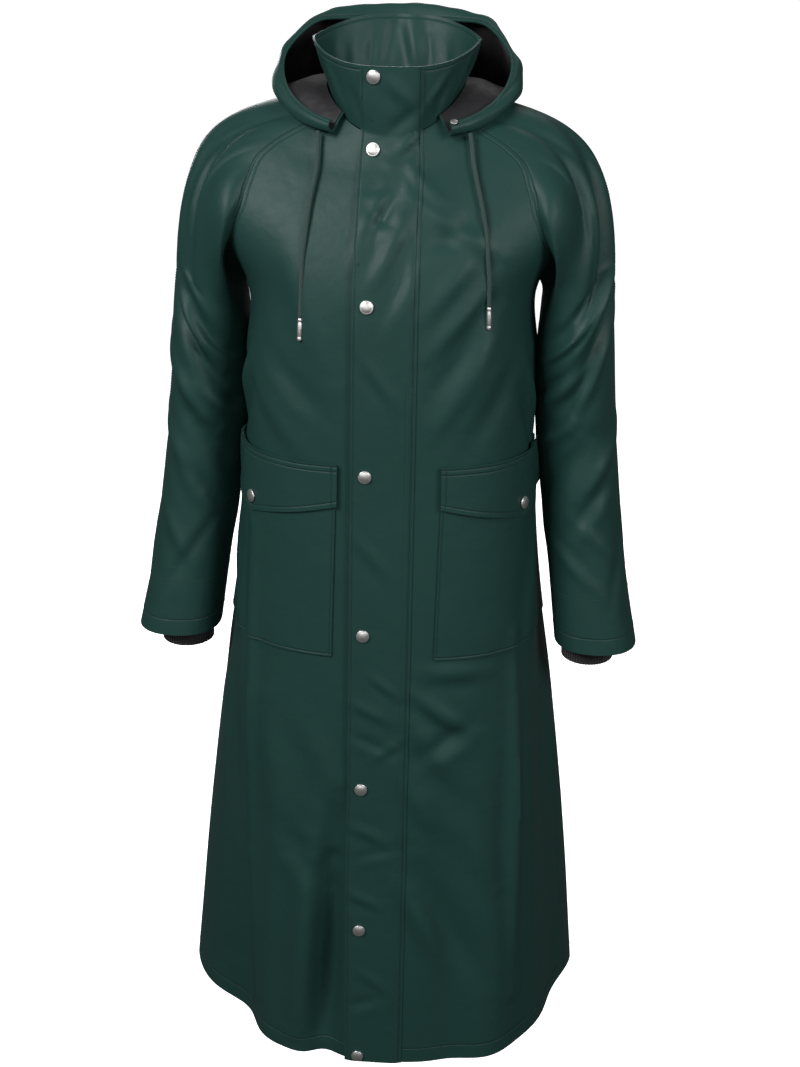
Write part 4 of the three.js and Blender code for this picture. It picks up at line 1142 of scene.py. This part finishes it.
def hood_lines(angle):
    """The hood's section at an angle, as its seven lines' distances out and heights."""
    half = np.degrees(np.minimum(angle, 2 * np.pi - angle))
    past = half - HOOD_SECOND
    place = 1 + past / np.where(past < 0, HOOD_SECOND - HOOD_START, HOOD_STEP)
    found = [read(rows, place) for rows in HOOD_TABLES.values()]
    neck = ring_point(read(COLLAR, np.full_like(half, HOOD_NECK)), np.radians(half))
    found.append({"out": np.hypot(neck[..., 0], neck[..., 1]) + LAY + CLOTH, "z": neck[..., 2]})
    return {name: np.stack([line[name] for line in found]) for name in ("out", "z")}


def smooth_hood(angle, along):
    """The section's Catmull-Rom curve, turned to its angle: (out sin a, -out cos a, z)."""
    angle, along = np.broadcast_arrays(np.asarray(angle, float), np.asarray(along, float))
    lines = hood_lines(angle)
    start = np.clip(np.floor(along).astype(int), 0, 5)
    f = along - start
    near = [np.clip(start + k, 0, 6)[None] for k in (-1, 0, 1, 2)]
    out, z = (catmull_rom(*(np.take_along_axis(line, k, 0)[0] for k in near), f) for line in lines.values())
    return np.stack([out * np.sin(angle), -out * np.cos(angle), z], axis=-1)


def hood_point(angle, along):
    """The hood with its creases, which fade out towards the opening and the layer on the back."""
    out = crease(laid_round(HOOD_CREASES, HOOD_REACH), angle * HOOD_REACH, along * LINE_REACH)
    out = out * smoothstep(along, 0.3, 1.2) * (1 - smoothstep(along, 3.6, 5))
    return smooth_hood(angle, along) + normal_at(smooth_hood, angle, along) * out[..., None]


def hood_inside(angle, along):
    return hood_point(angle, along) - normal_at(hood_point, angle, along) * (CLOTH + 0.3)


hood_cloth = coated_cloth("hood_cloth", [("from_top", 0.004), ("from_top", 0.022)])
first, last = math.radians(HOOD_START), 2 * math.pi - math.radians(HOOD_START)
along = np.concatenate([[0, 0.03, 0.08], np.linspace(0.14, 6, 92)])
grid = grid_of(hood_point, steps(first, last, 150, 0.003), along)
halves = ["hood_half_left", "hood_half_right"]
cloth_piece("hood_shell", grid, CLOTH, hood_cloth, "coat_cloth", halves)
along = np.linspace(0.15, 5.9, 88)
grid = grid_of(hood_inside, steps(first + 0.02, last - 0.02, 140), along)
cloth_piece("hood_inner", grid, LINING, LINING_CLOTH, "hood_lining", ["hood_lining"])

# %% [markdown]
# ## Sewing
#
# Every edge of the coat is topstitched with thread of its own colour, about three stitches to a
# centimetre. A stitch is a short piece of thread that rises out of the cloth and dives back in. Since
# a cloth keeps the distance from each of its edges, the line that a machine foot would follow is
# where that distance has one value, and the stitches are laid along it.

# %% A line on a cloth
def line_on(grid, edge, distance, start=0.0, end=1.0):
    """The line at a distance from an edge of a cloth: its points and normals, between two shares.

    On each row the place is found between the two columns whose distances lie on either side."""
    field, points, normals = grid[edge], grid["points"], grid["normals"]
    if edge in ("from_top", "from_bottom"):
        field, points, normals = field.T, points.swapaxes(0, 1), normals.swapaxes(0, 1)
    if edge in ("from_right", "from_bottom"):
        field, points, normals = field[:, ::-1], points[:, ::-1], normals[:, ::-1]
    rows = np.arange(len(field))
    kept = rows[int(start * len(rows)):max(2, int(end * len(rows)))]
    k = np.clip((field[kept] < distance).sum(1) - 1, 0, field.shape[1] - 2)
    share = ((distance - field[kept, k]) / (field[kept, k + 1] - field[kept, k]))[:, None]
    line = mix(points[kept, k], points[kept, k + 1], share)
    return line, unit(mix(normals[kept, k], normals[kept, k + 1], share))


# %% Stitches along a line
THREAD = 0.00055
PITCH, STITCH = 0.0032, 0.0026


def stitches(line, normals, pitch=PITCH, long=STITCH):
    """Rings of four points for stitches along a line: (stitch, ring, corner, xyz).

    Ring by ring, a stitch lies 0.4 threads under the cloth, 0.35 over it twice, and under it again."""
    far = np.concatenate([[0], np.cumsum(np.linalg.norm(np.diff(line, axis=0), axis=1))])
    middle = (np.arange(max(1, int(far[-1] / pitch))) + 0.5) * pitch
    place = middle[:, None] + long * np.array([-0.5, -0.25, 0.25, 0.5])
    at = np.stack([np.interp(place, far, line[:, k]) for k in range(3)], axis=-1)
    up = unit(np.stack([np.interp(place, far, normals[:, k]) for k in range(3)], axis=-1))
    across = unit(np.cross(up, at[:, -1:] - at[:, :1]))
    centre = at + up * (THREAD * np.array([-0.4, 0.35, 0.35, -0.4]))[:, None]
    turn = np.linspace(0, 2 * np.pi, 5)[:-1, None]
    ring = across[:, :, None] * np.cos(turn) + up[:, :, None] * np.sin(turn)
    return centre[:, :, None] + ring * (THREAD / 2 * np.array([0.6, 1, 1, 0.6]))[:, None, None]


def sewn(name, rings, material):
    """One mesh of many stitches: three bands of quads along each, and a quad on both of its ends."""
    index = np.arange(rings.shape[0] * 16).reshape(-1, 4, 4)
    wrapped = np.concatenate([index, index[:, :, :1]], axis=2)
    bands = quads(wrapped[:, :-1, :-1], wrapped[:, :-1, 1:], wrapped[:, 1:, 1:], wrapped[:, 1:, :-1], 1)
    ends = np.concatenate([index[:, 0, ::-1], index[:, -1]])
    return dress(mesh_of(name, rings.reshape(-1, 3), np.concatenate([bands, ends])), material, "coat_cloth")


# %% Thread
def sewing_thread():
    """Polyester thread in the cloth's own colour, with a fine twist."""
    finish, tree, shader = new_finish("sewing_thread", (0.010, 0.036, 0.031), 0.65, Sheen_Weight=0.1)
    bump(tree, shader, total(tree, [(noise(tree, 3200, 1.0), 0.00006)]))
    tint(tree, shader, noise(tree, 300, 2.0), (0.008, 0.030, 0.026), (0.012, 0.042, 0.036))
    return finish


SEWING = [
    ("storm_placket", "from_right", 0.0035), ("storm_placket", "from_left", 0.003),
    ("storm_placket", "from_right", 0.0115, 0.27, 1.0),
    ("front_panel_left", "from_bottom", 0.02), ("front_panel_right", "from_bottom", 0.02),
    ("back_panel", "from_bottom", 0.02), ("stand_collar", "from_top", 0.005),
    ("hood_shell", "from_top", 0.004), ("hood_shell", "from_top", 0.022),
]
for name in SIDES:
    SEWING += [("patch_pocket_" + name, edge, 0.003) for edge in SEWN_ROUND]
    SEWING += [("pocket_flap_" + name, edge, 0.006, 0.06, 0.94) for edge in SEWN_ROUND]
    SEWING += [("pocket_flap_" + name, "from_top", distance) for distance in (0.003, 0.009)]
    SEWING += [("sleeve_" + name, "from_top", 0.003), ("sleeve_" + name, "from_bottom", 0.02)]
    SEWING += [("sleeve_" + name, "from_bottom", 0.07)]
rings = [stitches(*line_on(CUTS[line[0]], *line[1:])) for line in SEWING]
for height in np.linspace(-297, -308, 12):
    x, row = np.array([27.5, 35.5]), np.full(2, front_row(height))
    rings.append(stitches(placket_point(x, row) * MM, normal_at(placket_point, x, row), 0.0079, 0.0079))
for name, side in SIDES.items():
    down, going = np.linspace(0.25, 6.75, 160), np.full(160, 0.93)
    surface = sleeve_surface(name, side)
    rings.append(stitches(surface(going, down) * MM, normal_at(surface, going, down, side)))
stitching = sewn("stitching", np.concatenate(rings), sewing_thread())
print("stitches:", len(stitching.data.polygons) // 14)

# %% [markdown]
# ## Snaps
#
# The snaps are domed caps of brushed metal. A cap is a profile, its distance out over its height,
# which is turned round the cloth's normal where it was pressed in. Two hold the pocket flaps, and a
# small one fastens the hood's band beside the collar.

# %% Snaps
SNAP_PROFILE = table("out up", [
    (0.0001, 0.0), (6.9, 0.0), (7.35, 0.15), (7.5, 0.5), (7.5, 1.1), (7.4, 1.5), (7.1, 1.8), (6.7, 1.9),
    (6.3, 1.86), (6.0, 1.96), (5.5, 2.2), (4.4, 2.55), (3.0, 2.85), (1.6, 3.02), (0.6, 3.08), (0.0001, 3.1),
])


def snap(name, at, normal, stands_for, size=1.0):
    """A domed cap: its profile, distance out over height, turned round the cloth's normal."""
    heights = SNAP_PROFILE["up"] * size + 1e-4 * np.arange(len(SNAP_PROFILE["up"]))
    path = (at + normal * LAY) + normal * heights[:, None]
    cap = tube(name, path * MM, SNAP_PROFILE["out"] * size * MM, 40)
    return dress(cap, METAL, "snap_metal", *stands_for)


for count, height in enumerate(SNAP_HEIGHTS, 1):
    x, row = np.array([float(SNAP_X)]), front_row(np.array([float(height)]))
    at, normal = placket_point(x, row)[0], normal_at(placket_point, x, row)[0]
    snap("snap_cap_%d" % count, at, normal, ["snap_%d" % count])
for name, at, normal in snap_places:
    snap(name + "_cap", at, normal, [name])
angle, along = np.array([math.radians(40.6)]), np.array([0.45])
snap("hood_snap_cap", hood_point(angle, along)[0], normal_at(hood_point, angle, along)[0], [], 0.55)

# %% [markdown]
# ## Stage and light
#
# A white sweep serves as floor and background. It glows a little, so that it stays evenly white, but
# it throws no light on the coat: the dark sides of the sleeves and skirt come from that. Two soft
# boxes stand left and right of the camera, and the left one is stronger. A weak one stands in the
# middle, and two more light the coat's back, which the photograph's side doesn't show.

# %% Stage and light
FLOOR_Z, BEND_START, BEND_RADIUS, HALF_WIDE = -1.46, 5, 3, 14
turn = np.linspace(0, np.pi / 2, 20)[1:]
flat = np.stack([np.linspace(-9, BEND_START, 30), np.full(30, FLOOR_Z)], axis=-1)
bend = [BEND_START, FLOOR_Z + BEND_RADIUS] + BEND_RADIUS * np.stack([np.sin(turn), -np.cos(turn)], axis=-1)
profile = np.concatenate([flat, bend, [[BEND_START + BEND_RADIUS, 12]]])
sweep = np.stack([np.insert(profile, 0, x, axis=1) for x in (-HALF_WIDE, HALF_WIDE)], axis=1)
index = np.arange(len(profile) * 2).reshape(-1, 2)
faces = quads(index[:-1, :-1], index[:-1, 1:], index[1:, 1:], index[1:, :-1], 1)
floor = mesh_of("floor", sweep.reshape(-1, 3), faces)
paper, tree, shader = new_finish("paper", (0.9, 0.9, 0.9), 0.9, Emission_Strength=0.95)
shader.inputs["Emission Color"].default_value = (1, 1, 1, 1)
floor.data.materials.append(paper)
floor.visible_diffuse = floor.visible_glossy = False


def area_light(name, at, aim, size, power):
    """A square soft box that faces a point."""
    data = bpy.data.lights.new(name, "AREA")
    data.size, data.energy = size, power
    light = bpy.data.objects.new(name, data)
    scene.collection.objects.link(light)
    away = unit(np.array(at, float) - np.array(aim, float))
    across = unit(np.cross([0, 0, 1.0], away))
    frame_of = np.column_stack([across, np.cross(away, across), away])
    light.matrix_world = Matrix.Translation(at) @ Matrix(frame_of.tolist()).to_4x4()


LIGHTS = [
    ("key", (-1.7, -2.1, 1.6), (0, 0, -0.3), 1.3, 92),
    ("fill", (2.1, -1.9, 1.0), (0, 0, -0.4), 1.1, 42),
    ("low", (0.2, -3.2, 0.3), (0, 0, -0.6), 1.6, 12),
    ("back", (0.3, 1.9, 2.0), (0, 0.1, -0.6), 1.6, 12),
    ("behind", (-0.9, 2.7, 0.4), (0, 0.1, -0.6), 1.6, 60),
]
for light in LIGHTS:
    area_light(*light)
world = bpy.data.worlds.new("studio")
world.use_nodes = True
sky = world.node_tree.nodes["Background"]
sky.inputs[0].default_value = (1, 1, 1, 1)
sky.inputs[1].default_value = 0.06
scene.world = world
scene.view_settings.view_transform = "Standard"
print("floor at", FLOOR_Z)

# %% Finish
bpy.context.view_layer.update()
